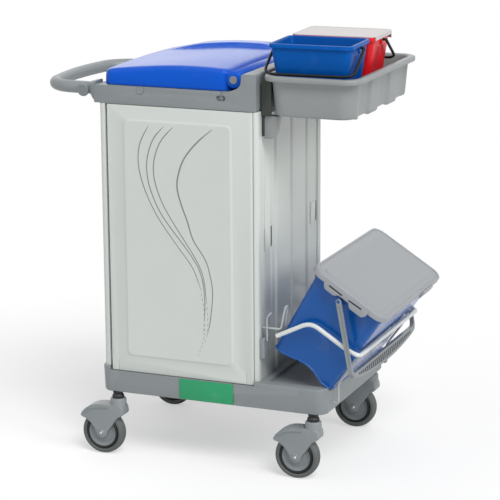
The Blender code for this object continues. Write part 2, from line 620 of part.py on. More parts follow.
def build_mop_box():
    d = BOX_DEPTH
    loops = [
        tilt_loop(0.0265, 0.203, 0.202, 0.016, d),
        tilt_loop(0.0235, 0.206, 0.205, 0.018, d - 0.003),
        tilt_loop(0.012, 0.214, 0.2205, 0.026, 0.030),
        tilt_loop(0.008, 0.216, 0.2270, 0.028, 0.028),
        tilt_loop(0.008, 0.216, 0.2280, 0.028, 0.006),
        tilt_loop(0.012, 0.212, 0.2240, 0.024, 0.006),
        tilt_loop(0.015, 0.211, 0.2175, 0.023, 0.030),
        tilt_loop(0.0265, 0.203, 0.2020, 0.017, d - 0.006),
        tilt_loop(0.0295, 0.200, 0.1990, 0.014, d - 0.003),
    ]
    box = add("mop_box", *loft(loops), BOX_BLUE, tilted(0.11, 0, 0.13))
    px, _, pz = tilted(BAIL_PIVOT[0], 0, BAIL_PIVOT[1])
    for side, tag in ((-1, "front"), (1, "rear")):
        pin = lathe([(0, side * 0.2190), (0.0042, side * 0.2190), (0.0042, side * 0.2508),
                     (0.0036, side * 0.2514), (0, side * 0.2514)], (px, BOX_MID, pz), "Y", 16)
        boolean(box, cutter("tool_bail_pin_" + tag, *pin), "UNION")
    hinge = tilted(BOX_HINGE[0], 0, BOX_HINGE[1])
    outer = [
        tilt_loop(0.0, BOX_LEN, BOX_HY, 0.032, 0.0140),
        tilt_loop(0.0, BOX_LEN, BOX_HY, 0.032, 0.0010),
        tilt_loop(0.002, BOX_LEN - 0.002, BOX_HY - 0.002, 0.030, -0.0010),
        tilt_loop(0.024, BOX_LEN - 0.024, BOX_HY - 0.024, 0.016, -0.0010),
        tilt_loop(0.027, BOX_LEN - 0.027, BOX_HY - 0.027, 0.014, -0.0035),
    ]
    inner = [
        tilt_loop(0.030, BOX_LEN - 0.030, BOX_HY - 0.030, 0.012, 0.0030),
        tilt_loop(0.0055, BOX_LEN - 0.0055, BOX_HY - 0.0055, 0.0280, 0.0030),
        tilt_loop(0.0040, BOX_LEN - 0.0040, BOX_HY - 0.0050, 0.0290, 0.0140),
    ]
    verts, faces = skin_shell(outer, inner)
    add("mop_lid", verts, faces, PALE, hinge)
    for side, tag in ((-1, "front"), (1, "rear")):
        y0, y1 = side * (BOX_HY + GAP), side * (BOX_HY + 0.0035)
        out = [(0.046, 0.005), (0.178, 0.005), (0.176, 0.020), (0.168, 0.029), (0.135, 0.029),
               (0.124, 0.018), (0.092, 0.018), (0.082, 0.026), (0.056, 0.026), (0.048, 0.018)]
        shape = loft([[tilted(u, y0, w) for u, w in out], [tilted(u, y1, w) for u, w in out]])
        add("lid_clip_" + tag, *shape, PALE, hinge)


def build_box_bail():
    pivot = Vector(tilted(BAIL_PIVOT[0], 0, BAIL_PIVOT[1]))
    across = BAIL_DIR.cross(Vector((0, 1, 0))).normalized()
    reach = 0.214
    outer = [(-0.2512, -0.0080), (-0.2512, 0.1800), (-0.2485, 0.1900), (-0.2390, 0.1990)]
    inner = [(-0.2456, -0.0080), (-0.2456, 0.1700), (-0.2435, 0.1790), (-0.2370, 0.1868)]
    steps = [-1 + k / 5 for k in range(11)]
    outer += [(reach * t, 0.2185 - 0.0135 * t * t) for t in steps]
    inner += [(reach * t, 0.1888) for t in steps]
    outer += [(-yy, r) for yy, r in reversed(outer[:4])]
    inner += [(-yy, r) for yy, r in reversed(inner[:4])]
    band = [pivot + BAIL_DIR * r + Vector((0, yy, 0)) for yy, r in outer + inner[::-1]]
    shape = loft([[tuple(p + across * s) for p in band] for s in (-0.0058, 0.0058)])
    bail = add("box_bail", *shape, BAIL_GREY, pivot)
    eye = lathe([(0, -0.3), (0.0046, -0.3), (0.0046, 0.3), (0, 0.3)], pivot, "Y", 16)
    boolean(bail, cutter("cut_bail_eye", *eye))


# ---------------------------------------------------------------- wire cradle and hooks
def build_cradle():
    y = 0.232
    bar = tilted(0.2195, 0, 0.120)
    up = tilted(0.0714, 0, 0.126)
    knee = tilted(0.185, 0, 0.126)
    half = [(0.1725, -y, 0.3710), (up[0], -y, up[2]), (knee[0], -y, knee[2]), (bar[0], -y, bar[2])]
    path = half + [(px, -py, pz) for px, py, pz in reversed(half)]
    add("cradle_frame", *tube(smooth_path(path, 0.026, 5), 0.0058, 10), WIRE, smooth=True)
    stay_top = (bar[0] - 0.0095, bar[2] - 0.0060)
    yy = 0.190
    low = [(0.3085, -yy, 0.2000), (0.3225, -yy, 0.2000), (0.3225, -yy, 0.2500), (stay_top[0], -yy, stay_top[1])]
    path = low + [(px, -py, pz) for px, py, pz in reversed(low)]
    add("cradle_stay", *tube(smooth_path(path, 0.008, 3), 0.0030, 8), WIRE, smooth=True)
    for side, tag in ((-1, "front"), (1, "rear")):
        pts = [(CAB_X1 + GAP, side * 0.206, 0.3820), (0.1735, side * 0.206, 0.3820),
               (0.1860, side * 0.206, 0.4400), (0.1860, side * 0.188, 0.4400), (0.1800, side * 0.188, 0.3860)]
        add("cradle_hook_" + tag, *tube(smooth_path(pts, 0.006, 3), 0.0030, 8), WIRE, smooth=True)
        y0, y1 = sorted((side * 0.190, side * 0.222))
        add("hook_block_" + tag, *block(CAB_X1 + GAP, CAB_X1 + 0.0125, y0, y1, 0.303, 0.356), SHELL)


def build():
    clear_scene()
    build_base()
    for ix, x in enumerate(STEM_X):
        for iy, y in enumerate((-STEM_Y, STEM_Y)):
            build_caster(("fl", "bl", "fr", "br")[2 * ix + iy], x, y)
    build_cabinet()
    build_top_frame()
    build_handle()
    build_lid()
    build_tray()
    build_buckets()
    build_mop_box()
    build_box_bail()
    build_cradle()


build()
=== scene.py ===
"""Housekeeping cart, dressed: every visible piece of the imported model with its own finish."""
from math import cos, pi, radians, sin

import bmesh
import bpy
from mathutils import Matrix, Vector


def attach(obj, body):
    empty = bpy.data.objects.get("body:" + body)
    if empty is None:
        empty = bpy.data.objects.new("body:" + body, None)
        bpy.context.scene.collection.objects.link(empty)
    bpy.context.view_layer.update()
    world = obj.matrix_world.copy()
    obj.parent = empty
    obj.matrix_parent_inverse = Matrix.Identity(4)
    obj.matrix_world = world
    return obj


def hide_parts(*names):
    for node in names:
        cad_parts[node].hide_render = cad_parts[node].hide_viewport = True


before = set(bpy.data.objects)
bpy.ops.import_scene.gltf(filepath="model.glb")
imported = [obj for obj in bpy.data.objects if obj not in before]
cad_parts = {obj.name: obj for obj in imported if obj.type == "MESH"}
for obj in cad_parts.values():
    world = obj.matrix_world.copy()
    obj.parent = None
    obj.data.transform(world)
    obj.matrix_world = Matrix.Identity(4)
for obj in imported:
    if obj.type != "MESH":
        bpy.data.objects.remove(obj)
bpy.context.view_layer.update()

# ------------------------------------------------------------------ moulded base
# The base is one hollow moulding in mid-grey plastic, open underneath, with a low
# deck at the tray end. The cabinet's side panels drop into a ledge along each side.
BASE_X = (-0.323, 0.304)
BASE_HALF = 0.235
BASE_Z = (0.173, 0.242)
DECK_Z = 0.232
PANEL_X = (-0.2960, 0.1104)
# Shapes are drawn round the cabinet. The cart's origin is the middle of its whole footprint.
TO_MIDDLE = Vector((0.0240, -0.0015, 0.0))


def tint(red, green, blue):
    """A paint-chart colour, 0 to 255, as linear light."""
    parts = [v / 255.0 for v in (red, green, blue)]
    return tuple(v / 12.92 if v <= 0.04045 else ((v + 0.055) / 1.055) ** 2.4 for v in parts) + (1.0,)


def ring(cx, cy, hx, hy, r, turns=6, along=1, across=1):
    """Rounded rectangle from its +X side, in two halves that mirror each other over cy."""
    pts = []
    for sx, sy, start in ((1, 1, 0), (-1, 1, 90), (-1, -1, 180), (1, -1, 270)):
        if pts:
            last = pts[-1]
            steps = along if start in (90, 270) else across
            a = radians(start)
            first = (cx + sx * (hx - r) + r * cos(a), cy + sy * (hy - r) + r * sin(a))
            for k in range(1, steps):
                t = k / steps
                pts.append((last[0] + (first[0] - last[0]) * t, last[1] + (first[1] - last[1]) * t))
        for k in range(turns + 1):
            a = radians(start + 90.0 * k / turns)
            pts.append((cx + sx * (hx - r) + r * cos(a), cy + sy * (hy - r) + r * sin(a)))
    last, first = pts[-1], pts[0]
    for k in range(1, across):
        t = k / across
        pts.append((last[0] + (first[0] - last[0]) * t, last[1] + (first[1] - last[1]) * t))
    return pts


def level(loop, z):
    """The loop laid flat at a height."""
    return [(x, y, z) for x, y in loop]


def skin(loops, bottom=True, top=True):
    """Walls between equal loops, with flat ends."""
    count = len(loops[0])
    verts = [p for loop in loops for p in loop]
    faces = []
    for k in range(len(loops) - 1):
        a, b = k * count, (k + 1) * count
        faces += [(a + i, a + (i + 1) % count, b + (i + 1) % count, b + i) for i in range(count)]
    if bottom:
        faces.append(tuple(reversed(range(count))))
    if top:
        faces.append(tuple(range((len(loops) - 1) * count, len(loops) * count)))
    return verts, faces


def slab(outline, axis, low, high):
    """A flat outline given thickness along an axis: Y takes (x, z), Z takes (x, y), X takes (y, z)."""
    put = {"X": lambda p, q: (q, p[0], p[1]), "Y": lambda p, q: (p[0], q, p[1]),
           "Z": lambda p, q: (p[0], p[1], q)}[axis]
    return skin([[put(p, low) for p in outline], [put(p, high) for p in outline]])


def brick(x0, x1, y0, y1, z0, z1):
    """A plain block between two corners, for cutting and joining."""
    return slab([(x0, y0), (x1, y0), (x1, y1), (x0, y1)], "Z", z0, z1)


def on_side(side, near, far):
    """The span from near to far on the front (-1) or the rear (1) side, lower y first."""
    return sorted((side * near, side * far))


def mesh_object(name, shape):
    """A new object with its doubles merged and its faces turned outwards."""
    mesh = bpy.data.meshes.new(name)
    mesh.from_pydata([tuple(v) for v in shape[0]], [], shape[1])
    bm = bmesh.new()
    bm.from_mesh(mesh)
    bmesh.ops.remove_doubles(bm, verts=bm.verts, dist=1e-6)
    bmesh.ops.recalc_face_normals(bm, faces=bm.faces)
    bm.to_mesh(mesh)
    bm.free()
    obj = bpy.data.objects.new(name, mesh)
    bpy.context.scene.collection.objects.link(obj)
    return obj


def settle(obj, sharp=32):
    """Applies what is on the object and shades it, sharp edges kept."""
    bpy.context.view_layer.update()
    graph = bpy.context.evaluated_depsgraph_get()
    mesh = bpy.data.meshes.new_from_object(obj.evaluated_get(graph))
    obj.modifiers.clear()
    old = obj.data
    obj.data = mesh
    bpy.data.meshes.remove(old)
    mesh.name = obj.name
    mesh.shade_smooth()
    mesh.set_sharp_from_angle(angle=radians(sharp))
    return obj


def shaped(name, shape, cuts=(), joins=(), edge=0.0, steps=3, sharp=32):
    """A piece from a closed shape, with others cut out or joined on and its edges rounded."""
    obj = mesh_object(name, shape)
    tools = []
    for kind, group in (("UNION", joins), ("DIFFERENCE", cuts)):
        for k, other in enumerate(group):
            tool = mesh_object(name + kind.lower() + str(k), other)
            tools.append(tool)
            mod = obj.modifiers.new(kind.lower() + str(k), "BOOLEAN")
            mod.operation = kind
            mod.solver = "EXACT"
            mod.object = tool
    if edge:
        mod = obj.modifiers.new("rounded edges", "BEVEL")
        mod.width = edge
        mod.segments = steps
        mod.limit_method = "ANGLE"
        mod.angle_limit = radians(sharp)
        mod.use_clamp_overlap = True
    settle(obj, sharp)
    for tool in tools:
        mesh = tool.data
        bpy.data.objects.remove(tool, do_unlink=True)
        bpy.data.meshes.remove(mesh)
    return obj


def fitted(obj, finish, body, *nodes, like=None):
    """Gives the piece its finish, sets it on its body and lets it stand for its solids."""
    obj.data.transform(Matrix.Translation(TO_MIDDLE))
    obj.data.materials.clear()
    obj.data.materials.append(finish)
    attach(obj, body)
    if nodes:
        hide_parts(*nodes)
    return obj


def moulded_skin_group():
    """Surface of a moulding: soft cloudiness, fine grain, faint rubbed streaks, a little dust on top."""
    tree = bpy.data.node_groups.new("moulded skin", "ShaderNodeTree")
    face = tree.interface
    wanted = (("Colour", "NodeSocketColor", (0.5, 0.5, 0.5, 1.0)), ("Cloud Size", "NodeSocketFloat", 7.0),
              ("Cloud Amount", "NodeSocketFloat", 0.05), ("Grain Size", "NodeSocketFloat", 900.0),
              ("Grain Height", "NodeSocketFloat", 0.00006), ("Roughness", "NodeSocketFloat", 0.4),
              ("Rubbing", "NodeSocketFloat", 0.08), ("Dust", "NodeSocketFloat", 0.05))
    for name, kind, value in wanted:
        face.new_socket(name, in_out="INPUT", socket_type=kind).default_value = value
    face.new_socket("Colour", in_out="OUTPUT", socket_type="NodeSocketColor")
    face.new_socket("Roughness", in_out="OUTPUT", socket_type="NodeSocketFloat")
    face.new_socket("Normal", in_out="OUTPUT", socket_type="NodeSocketVector")
    node, link = tree.nodes.new, tree.links.new
    given, out = node("NodeGroupInput"), node("NodeGroupOutput")
    spot = node("ShaderNodeTexCoord")

    def noise(size, detail, source=None):
        tex = node("ShaderNodeTexNoise")
        tex.inputs["Detail"].default_value = detail
        link(source or spot.outputs["Object"], tex.inputs["Vector"])
        if isinstance(size, (int, float)):
            tex.inputs["Scale"].default_value = size
        else:
            link(size, tex.inputs["Scale"])
        return tex.outputs["Fac"]

    def maths(kind, a, b, c=None):
        step = node("ShaderNodeMath")
        step.operation = kind
        for socket, value in zip(step.inputs, (a, b, c)):
            if isinstance(value, (int, float)):
                socket.default_value = value
            elif value is not None:
                link(value, socket)
        return step.outputs["Value"]

    cloud = maths("SUBTRACT", noise(given.outputs["Cloud Size"], 3.0), 0.5)
    stretch = node("ShaderNodeMapping")
    stretch.inputs["Scale"].default_value = (14.0, 160.0, 14.0)
    stretch.inputs["Rotation"].default_value = (0.35, 0.2, 0.5)
    link(spot.outputs["Object"], stretch.inputs["Vector"])
    streak = node("ShaderNodeMapRange")
    streak.inputs["From Min"].default_value = 0.60
    streak.inputs["From Max"].default_value = 0.78
    link(noise(1.0, 3.0, stretch.outputs["Vector"]), streak.inputs["Value"])
    rubbed = maths("MULTIPLY", streak.outputs["Result"], given.outputs["Rubbing"])
    shape = node("ShaderNodeNewGeometry")
    facing = node("ShaderNodeSeparateXYZ")
    link(shape.outputs["Normal"], facing.inputs["Vector"])
    lying = maths("MULTIPLY", maths("MAXIMUM", facing.outputs["Z"], 0.0), noise(35.0, 4.0))
    dusty = maths("MULTIPLY", lying, given.outputs["Dust"])
    value = maths("MULTIPLY_ADD", cloud, maths("MULTIPLY", given.outputs["Cloud Amount"], 2.0), 1.0)
    shade = node("ShaderNodeHueSaturation")
    link(value, shade.inputs["Value"])
    link(given.outputs["Colour"], shade.inputs["Color"])
    pale = node("ShaderNodeMix")
    pale.data_type = "RGBA"
    pale.inputs["B"].default_value = (0.62, 0.62, 0.60, 1.0)
    link(maths("ADD", maths("MULTIPLY", rubbed, 0.35), dusty), pale.inputs["Factor"])
    link(shade.outputs["Color"], pale.inputs["A"])
    link(pale.outputs["Result"], out.inputs["Colour"])
    rough = maths("ADD", maths("ADD", given.outputs["Roughness"], rubbed), maths("MULTIPLY", cloud, 0.12))
    rough = maths("ADD", rough, maths("MULTIPLY", maths("SUBTRACT", noise(60.0, 2.0), 0.5), 0.03))
    link(rough, out.inputs["Roughness"])
    bump = node("ShaderNodeBump")
    bump.inputs["Strength"].default_value = 1.0
    link(given.outputs["Grain Height"], bump.inputs["Distance"])
    link(noise(given.outputs["Grain Size"], 2.0), bump.inputs["Height"])
    link(bump.outputs["Normal"], out.inputs["Normal"])
    return tree


moulded_skin = moulded_skin_group()


def moulding(name, colour, coat=0.0, specular=0.5, metallic=0.0, **values):
    """A plastic or painted finish with the moulded skin on it."""
    mat = bpy.data.materials.new(name)
    mat.use_nodes = True
    tree = mat.node_tree
    shader = tree.nodes["Principled BSDF"]
    group = tree.nodes.new("ShaderNodeGroup")
    group.node_tree = moulded_skin
    group.inputs["Colour"].default_value = colour
    for key, value in values.items():
        group.inputs[key.replace("_", " ").title()].default_value = value
    tree.links.new(group.outputs["Colour"], shader.inputs["Base Color"])
    tree.links.new(group.outputs["Roughness"], shader.inputs["Roughness"])
    tree.links.new(group.outputs["Normal"], shader.inputs["Normal"])
    shader.inputs["Coat Weight"].default_value = coat
    shader.inputs["Coat Roughness"].default_value = 0.08
    shader.inputs["Specular IOR Level"].default_value = specular
    shader.inputs["Metallic"].default_value = metallic
    mat.diffuse_color = colour
    return mat


grey_moulding = moulding("mid-grey moulding", tint(130, 136, 138), specular=0.4, roughness=0.40, grain_size=1300.0,
                         grain_height=0.00005, cloud_amount=0.045, dust=0.10)

middle = (BASE_X[0] + BASE_X[1]) / 2
half = (BASE_X[1] - BASE_X[0]) / 2
base_loops = []
for inset, z in ((0.0075, BASE_Z[0]), (0.0040, BASE_Z[0] + 0.0010), (0.0022, BASE_Z[0] + 0.0045),
                 (0.0005, BASE_Z[1] - 0.0120), (0.0, BASE_Z[1] - 0.0030), (0.0009, BASE_Z[1] - 0.0009),
                 (0.0030, BASE_Z[1])):
    base_loops.append(level(ring(middle, 0, half - inset, BASE_HALF - inset, 0.030 - inset * 0.6, 10), z))
base_cuts = []
for side in (-1, 1):
    # the ledge that a side panel drops into, and two fine moulding seams
    base_cuts.append(brick(*PANEL_X, *on_side(side, 0.2125, 0.2600), 0.2315, 0.260))
    seam = on_side(side, 0.2342, 0.2400)
    base_cuts.append(brick(0.2303, 0.2311, *seam, 0.165, 0.260))
    base_cuts.append(brick(-0.2706, -0.2698, *seam, 0.216, 0.260))
deck_foot = ring(0.230, 0, 0.0900, 0.2095, 0.012, 8)
deck_mouth = ring(0.230, 0, 0.0925, 0.212, 0.014, 8)
base_cuts.append(skin([level(deck_foot, DECK_Z), level(deck_mouth, 0.260)]))
for x0, x1 in ((-0.240, -0.096), (-0.090, 0.064), (0.070, 0.226)):
    for y0, y1 in ((-0.188, -0.003), (0.003, 0.188)):
        pocket = ring((x0 + x1) / 2, (y0 + y1) / 2, (x1 - x0) / 2, (y1 - y0) / 2, 0.016, 6)
        base_cuts.append(skin([level(pocket, 0.160), level(pocket, 0.2275)]))
cabinet_floor = ring(-0.098, 0, 0.194, 0.205, 0.012, 6)
cabinet_floor = skin([level(cabinet_floor, 0.2390), level(cabinet_floor, 0.2440)])
base = shaped("base_moulding", skin(base_loops), base_cuts, [cabinet_floor], edge=0.0012, sharp=30)
fitted(base, grey_moulding, "base", "base_platform", like="grey_plastic")

# ------------------------------------------------------------------ label plate
# A thin plate of green plastic pressed into the side of the base. Its face is bare;
# only its edge is rounded and its surface slightly worn.
green_plate = moulding("green plate", tint(20, 140, 90), coat=0.05, roughness=0.36, grain_size=1600.0,
                       grain_height=0.00003, cloud_amount=0.06, rubbing=0.20)
plate = ring(-0.0215, 0.2038, 0.0750, 0.0272, 0.003, 4)
label = shaped("label_plate", slab(plate, "Y", -0.2366, -0.2351), edge=0.0006, steps=2)
fitted(label, green_plate, "base", "base_label", like="green_plate")

# ------------------------------------------------------------------ swivel casters
# Four hooded casters. A grey nylon fork turns on a black stem under the base, and
# carries a wheel with a grey tread round a black rim and a pressed grey hub disc.
WHEEL_R, WHEEL_W, TRAIL = 0.0585, 0.032, 0.042
STEMS = {"fl": (-0.279, -0.2213), "bl": (-0.279, 0.2213), "fr": (0.267, -0.2213), "br": (0.267, 0.2213)}


def turned(profile, centre, axis="Z", seg=48):
    """A turned shape from (radius, height) pairs. It is a ring where no radius is zero."""
    cx, cy, cz = centre
    hollow = min(r for r, _ in profile) > 1e-9
    verts, faces = [], []
    for i in range(seg):
        a = 2 * pi * i / seg
        for r, h in profile:
            across = (r * cos(a), r * sin(a))
            if axis == "Z":
                verts.append((cx + across[0], cy + across[1], cz + h))
            elif axis == "Y":
                verts.append((cx + across[0], cy + h, cz + across[1]))
            else:
                verts.append((cx + h, cy + across[0], cz + across[1]))
    m = len(profile)
    for i in range(seg):
        p, q = i * m, ((i + 1) % seg) * m
        for k in range(m if hollow else m - 1):
            n = (k + 1) % m
            if not hollow and profile[k][0] < 1e-9:
                faces.append((p + k, q + n, p + n))
            elif not hollow and profile[n][0] < 1e-9:
                faces.append((p + k, q + k, p + n))
            else:
                faces.append((p + k, q + k, q + n, p + n))
    return verts, faces


def flowing(points, rounds):
    """Corner-cutting turns a rough closed outline into a flowing one."""
    for _ in range(rounds):
        rounder = []
        for a, b in zip(points, points[1:] + points[:1]):
            rounder.append(tuple(p * 0.78 + q * 0.22 for p, q in zip(a, b)))
            rounder.append(tuple(p * 0.22 + q * 0.78 for p, q in zip(a, b)))
        points = rounder
    return points


rubber_tread = moulding("grey rubber tread", tint(90, 94, 93), specular=0.2, roughness=0.62,
                        grain_size=700.0, grain_height=0.00012, cloud_amount=0.10, rubbing=0.15, dust=0.18)
black_moulding = moulding("black moulding", tint(26, 30, 30), specular=0.3, roughness=0.40, grain_size=1100.0,
                          grain_height=0.00005, cloud_amount=0.12, dust=0.05)
hub_grey = moulding("hub grey", tint(118, 124, 126), specular=0.4, roughness=0.36, grain_size=1200.0,
                    grain_height=0.00004, cloud_amount=0.06, dust=0.06)
axle_steel = moulding("zinc plated steel", tint(176, 180, 182), metallic=0.9, roughness=0.30,
                      grain_size=500.0, grain_height=0.00003, cloud_amount=0.08, rubbing=0.15, dust=0.0)

for tag, (sx, sy) in STEMS.items():
    hub = (sx - TRAIL, sy, WHEEL_R)
    wide = WHEEL_W / 2 + 0.0052
    clear = WHEEL_W / 2 + 0.0015
    outline = [(-0.0625, 0.0410), (-0.0560, 0.0535), (-0.0430, 0.0655), (-0.0260, 0.0748), (-0.0060, 0.0788),
               (0.0260, 0.0788), (0.0540, 0.0788), (0.0605, 0.0745), (0.0635, 0.0580), (0.0605, 0.0515),
               (0.0450, 0.0440), (0.0300, 0.0200), (0.0165, 0.0040), (0.0120, -0.0110), (0.0, -0.0165),
               (-0.0120, -0.0110), (-0.0165, 0.0040), (-0.0300, 0.0240), (-0.0470, 0.0360)]
    outline = [(hub[0] + px, hub[2] + pz) for px, pz in flowing(outline, 2)]
    sides = []
    for y, shrink in ((-wide, 0.966), (-wide + 0.0012, 0.988), (-wide + 0.0035, 1.0),
                      (wide - 0.0035, 1.0), (wide - 0.0012, 0.988), (wide, 0.966)):
        mid = (hub[0] + 0.002, hub[2] + 0.045)
        sides.append([(mid[0] + (px - mid[0]) * shrink, sy + y, mid[1] + (pz - mid[1]) * shrink)
                      for px, pz in outline])
    housing = turned([(0, 0.1215), (0.0212, 0.1215), (0.0212, 0.1495), (0.0205, 0.1530), (0.0185, 0.1550),
                      (0, 0.1550)], (sx, sy, 0), "Z", 40)
    boss = [turned([(0, -wide + 0.0012), (0.0092, -wide + 0.0012), (0.0092, -wide - 0.0008),
                    (0.0078, -wide - 0.0022), (0, -wide - 0.0022)], hub, "Y", 32),
            turned([(0, wide - 0.0012), (0.0092, wide - 0.0012), (0.0092, wide + 0.0008),
                    (0.0078, wide + 0.0022), (0, wide + 0.0022)], hub, "Y", 32)]
    slot = turned([(0, -clear), (0.0610, -clear), (0.0610, clear), (0, clear)], hub, "Y", 48)
    throat = brick(hub[0] - 0.0610, hub[0] + 0.0610, sy - clear, sy + clear, -0.02, hub[2])
    lip = []
    for side in (-1, 1):
        y0, y1 = sorted((sy + side * (wide - 0.0004), sy + side * (wide + 0.0030)))
        crest = [(hub[0] + px, hub[2] + pz) for px, pz in
                 ((-0.050, 0.0550), (-0.030, 0.0680), (-0.006, 0.0735), (0.020, 0.0745), (0.020, 0.0712),
                  (-0.006, 0.0702), (-0.029, 0.0650), (-0.0478, 0.0525))]
        lip.append(slab(crest, "Y", y0, y1))
    fork = shaped("caster_fork_" + tag, skin(sides), [slot, throat], [housing] + boss + lip, edge=0.0008, steps=2)
    fitted(fork, grey_moulding, "caster_" + tag, "fork_" + tag, like="grey_plastic")
    stem = turned([(0, 0.1556), (0.0150, 0.1556), (0.0158, 0.1562), (0.0158, 0.1610), (0.0140, 0.1650),
                   (0.0118, 0.1665), (0.0118, 0.1690), (0.0136, 0.1696), (0.0136, 0.1722), (0.0128, 0.1726),
                   (0.0060, 0.1726), (0.0060, 0.2040), (0, 0.2040)], (sx, sy, 0), "Z", 40)
    fitted(shaped("caster_stem_" + tag, stem), black_moulding, "caster_" + tag, "stem_" + tag,
           like="black_plastic")
    bolt = turned([(0, -wide - 0.0021), (0.0046, -wide - 0.0021), (0.0046, -wide - 0.0036),
                   (0.0036, -wide - 0.0048), (0, -wide - 0.0048)], hub, "Y", 20)
    nut = turned([(0, wide + 0.0021), (0.0052, wide + 0.0021), (0.0052, wide + 0.0040),
                  (0.0030, wide + 0.0050), (0, wide + 0.0050)], hub, "Y", 6)
    for part, shape in (("bolt", bolt), ("nut", nut)):
        fitted(shaped("axle_%s_%s" % (part, tag), shape), axle_steel, "caster_" + tag, like="grey_plastic")
    w = WHEEL_W / 2
    tread = [(0.0458, w - 0.0035), (0.0478, w - 0.0006), (0.0505, w), (0.0540, w - 0.0012),
             (0.0568, w - 0.0042), (0.0582, w - 0.0085), (0.0585, w - 0.0125)]
    tread += [(r, -h) for r, h in reversed(tread)]
    fitted(shaped("wheel_tread_" + tag, turned(tread, hub, "Y", 72)), rubber_tread, "wheel_" + tag,
           "tread_" + tag, like="grey_rubber")
    rim = [(0.0386, w - 0.0045), (0.0388, w - 0.0008), (0.0396, w), (0.0430, w - 0.0004), (0.0452, w - 0.0030),
           (0.0456, w - 0.0060)]
    rim += [(r, -h) for r, h in reversed(rim)]
    fitted(shaped("wheel_rim_" + tag, turned(rim, hub, "Y", 64)), black_moulding, "wheel_" + tag,
           "rim_" + tag, like="black_plastic")
    disc = [(0.0054, w - 0.0012), (0.0120, w - 0.0010), (0.0150, w - 0.0036), (0.0300, w - 0.0056),
            (0.0345, w - 0.0030), (0.0380, w - 0.0020), (0.0384, w - 0.0060)]
    disc += [(r, -h) for r, h in reversed(disc)]
    fitted(shaped("hub_disc_" + tag, turned(disc, hub, "Y", 64)), hub_grey, "wheel_" + tag,
           like="grey_plastic")

# ------------------------------------------------------------------ cabinet posts and panels
# Four rounded corner posts stand on the base and clip the panels between them: plain
# moulded panels in pale grey-green with soft vertical flutes on the ends.
CAB_X = (-0.313, 0.122)
CAB_HALF = 0.228
CAB_TOP = 0.936
SHELL_Z = (0.2424, CAB_TOP - 0.0004)
DOOR_PIN = (0.1020, -0.2232)
FLUTES = (-0.100, 0.013, 0.122)

pale_shell = moulding("pale grey-green shell", tint(197, 202, 198), specular=0.5, roughness=0.24,
                      grain_size=1000.0, grain_height=0.00003, cloud_amount=0.025, dust=0.0, rubbing=0.0)


def sweep_arc(cx, cy, r, start, end, steps):
    """Points along an arc, its ends given in degrees."""
    turns = [radians(start + (end - start) * k / steps) for k in range(steps + 1)]
    return [(cx + r * cos(a), cy + r * sin(a)) for a in turns]


for sx, sy, tag in ((-1, -1, "fl"), (1, -1, "fr"), (-1, 1, "bl"), (1, 1, "br")):
    outer_x, outer_y = (CAB_X[1] if sx > 0 else CAB_X[0]), sy * CAB_HALF
    inner_x = outer_x - sx * (0.012 if sx > 0 else 0.017)
    round_off = [(outer_x - sx * (0.011 - px), outer_y - sy * (0.011 - py))
                 for px, py in sweep_arc(0, 0, 0.011, 0, 90, 10)]
    plan = [(inner_x, outer_y - sy * 0.030), (outer_x, outer_y - sy * 0.030)] + round_off + [(inner_x, outer_y)]
    post = shaped("post_" + tag, slab(plan, "Z", *SHELL_Z), edge=0.0010, steps=2)
    fitted(post, pale_shell, "base", "post_" + tag, like="cabinet_shell")


def fluted(face, back, outward, halfwidth, flutes, depth=0.0062):
    """Plan of an end panel whose face carries soft upright flutes."""
    plan = []
    flute_half, steps = 0.0095, 240
    for k in range(steps + 1):
        y = -halfwidth + 2 * halfwidth * k / steps
        dip = 0.0
        for mid in flutes:
            off = abs(y - mid) / flute_half
            if off < 1:
                dip = max(dip, min(1.0, 1.35 * (0.5 + 0.5 * cos(pi * off))))
        plan.append((face - outward * depth * dip, y))
    return [(back, -halfwidth)] + plan + [(back, halfwidth)]


# the tray end carries two latch pads, each with a fine gap on one side and a wide slot on the other; a black strip in
# each slot is painted shade for its depth
end_cuts = [brick(0.1000, 0.1300, -0.1370, -0.1265, 0.5760, 0.6295),
            brick(0.1000, 0.1300, 0.1858, 0.1955, 0.5760, 0.6295)]
end_pads = []
for mid in (-0.1580, 0.1660):
    end_cuts.append(brick(0.1120, 0.1300, mid - 0.0214, mid - 0.0182, 0.5720, 0.6320))
    pad = ring(mid, 0.6020, 0.0180, 0.0290, 0.0030, 4)
    end_pads.append(slab(pad, "X", 0.1170, 0.1206))
end_right = shaped("end_panel_tray_side",
                   slab(fluted(CAB_X[1] - 0.003, CAB_X[1] - 0.014, 1, 0.1976, FLUTES), "Z", *SHELL_Z),
                   end_cuts, end_pads, edge=0.0007, steps=2, sharp=40)
fitted(end_right, pale_shell, "base", "end_panel_right", like="cabinet_shell")
# Black strips sit just inside the slots: painted shade standing for the dark depth of each slot.
for tag, y0, y1 in (("front", -0.1366, -0.1269), ("rear", 0.1862, 0.1951)):
    strip = brick(0.1090, 0.1186, y0, y1, 0.5764, 0.6291)
    fitted(shaped("latch_strip_" + tag, strip, edge=0.0006, steps=2), black_moulding, "base", like="black_plastic")
end_left = shaped("end_panel_handle_side",
                  slab(fluted(CAB_X[0] + 0.001, CAB_X[0] + 0.009, -1, 0.1976, FLUTES, 0.0036), "Z", *SHELL_Z),
                  edge=0.0007, steps=2, sharp=40)
fitted(end_left, pale_shell, "base", "end_panel_left", like="cabinet_shell")


def raised_field(y_face, outward):
    """The slightly raised middle of a side panel, with soft sloping edges."""
    loops = []
    for grow, lift in ((0.0062, -0.0020), (0.0050, 0.0), (0.0040, 0.0004), (0.0012, 0.0024), (-0.0002, 0.0029),
                       (-0.0020, 0.0030), (-0.0045, 0.0030)):
        outline = ring(-0.0958, 0.5880, 0.1450 + grow, 0.3080 + grow, 0.012 + grow, 8)
        loops.append([(x, y_face + outward * lift, z) for x, z in outline])
    return skin(loops)


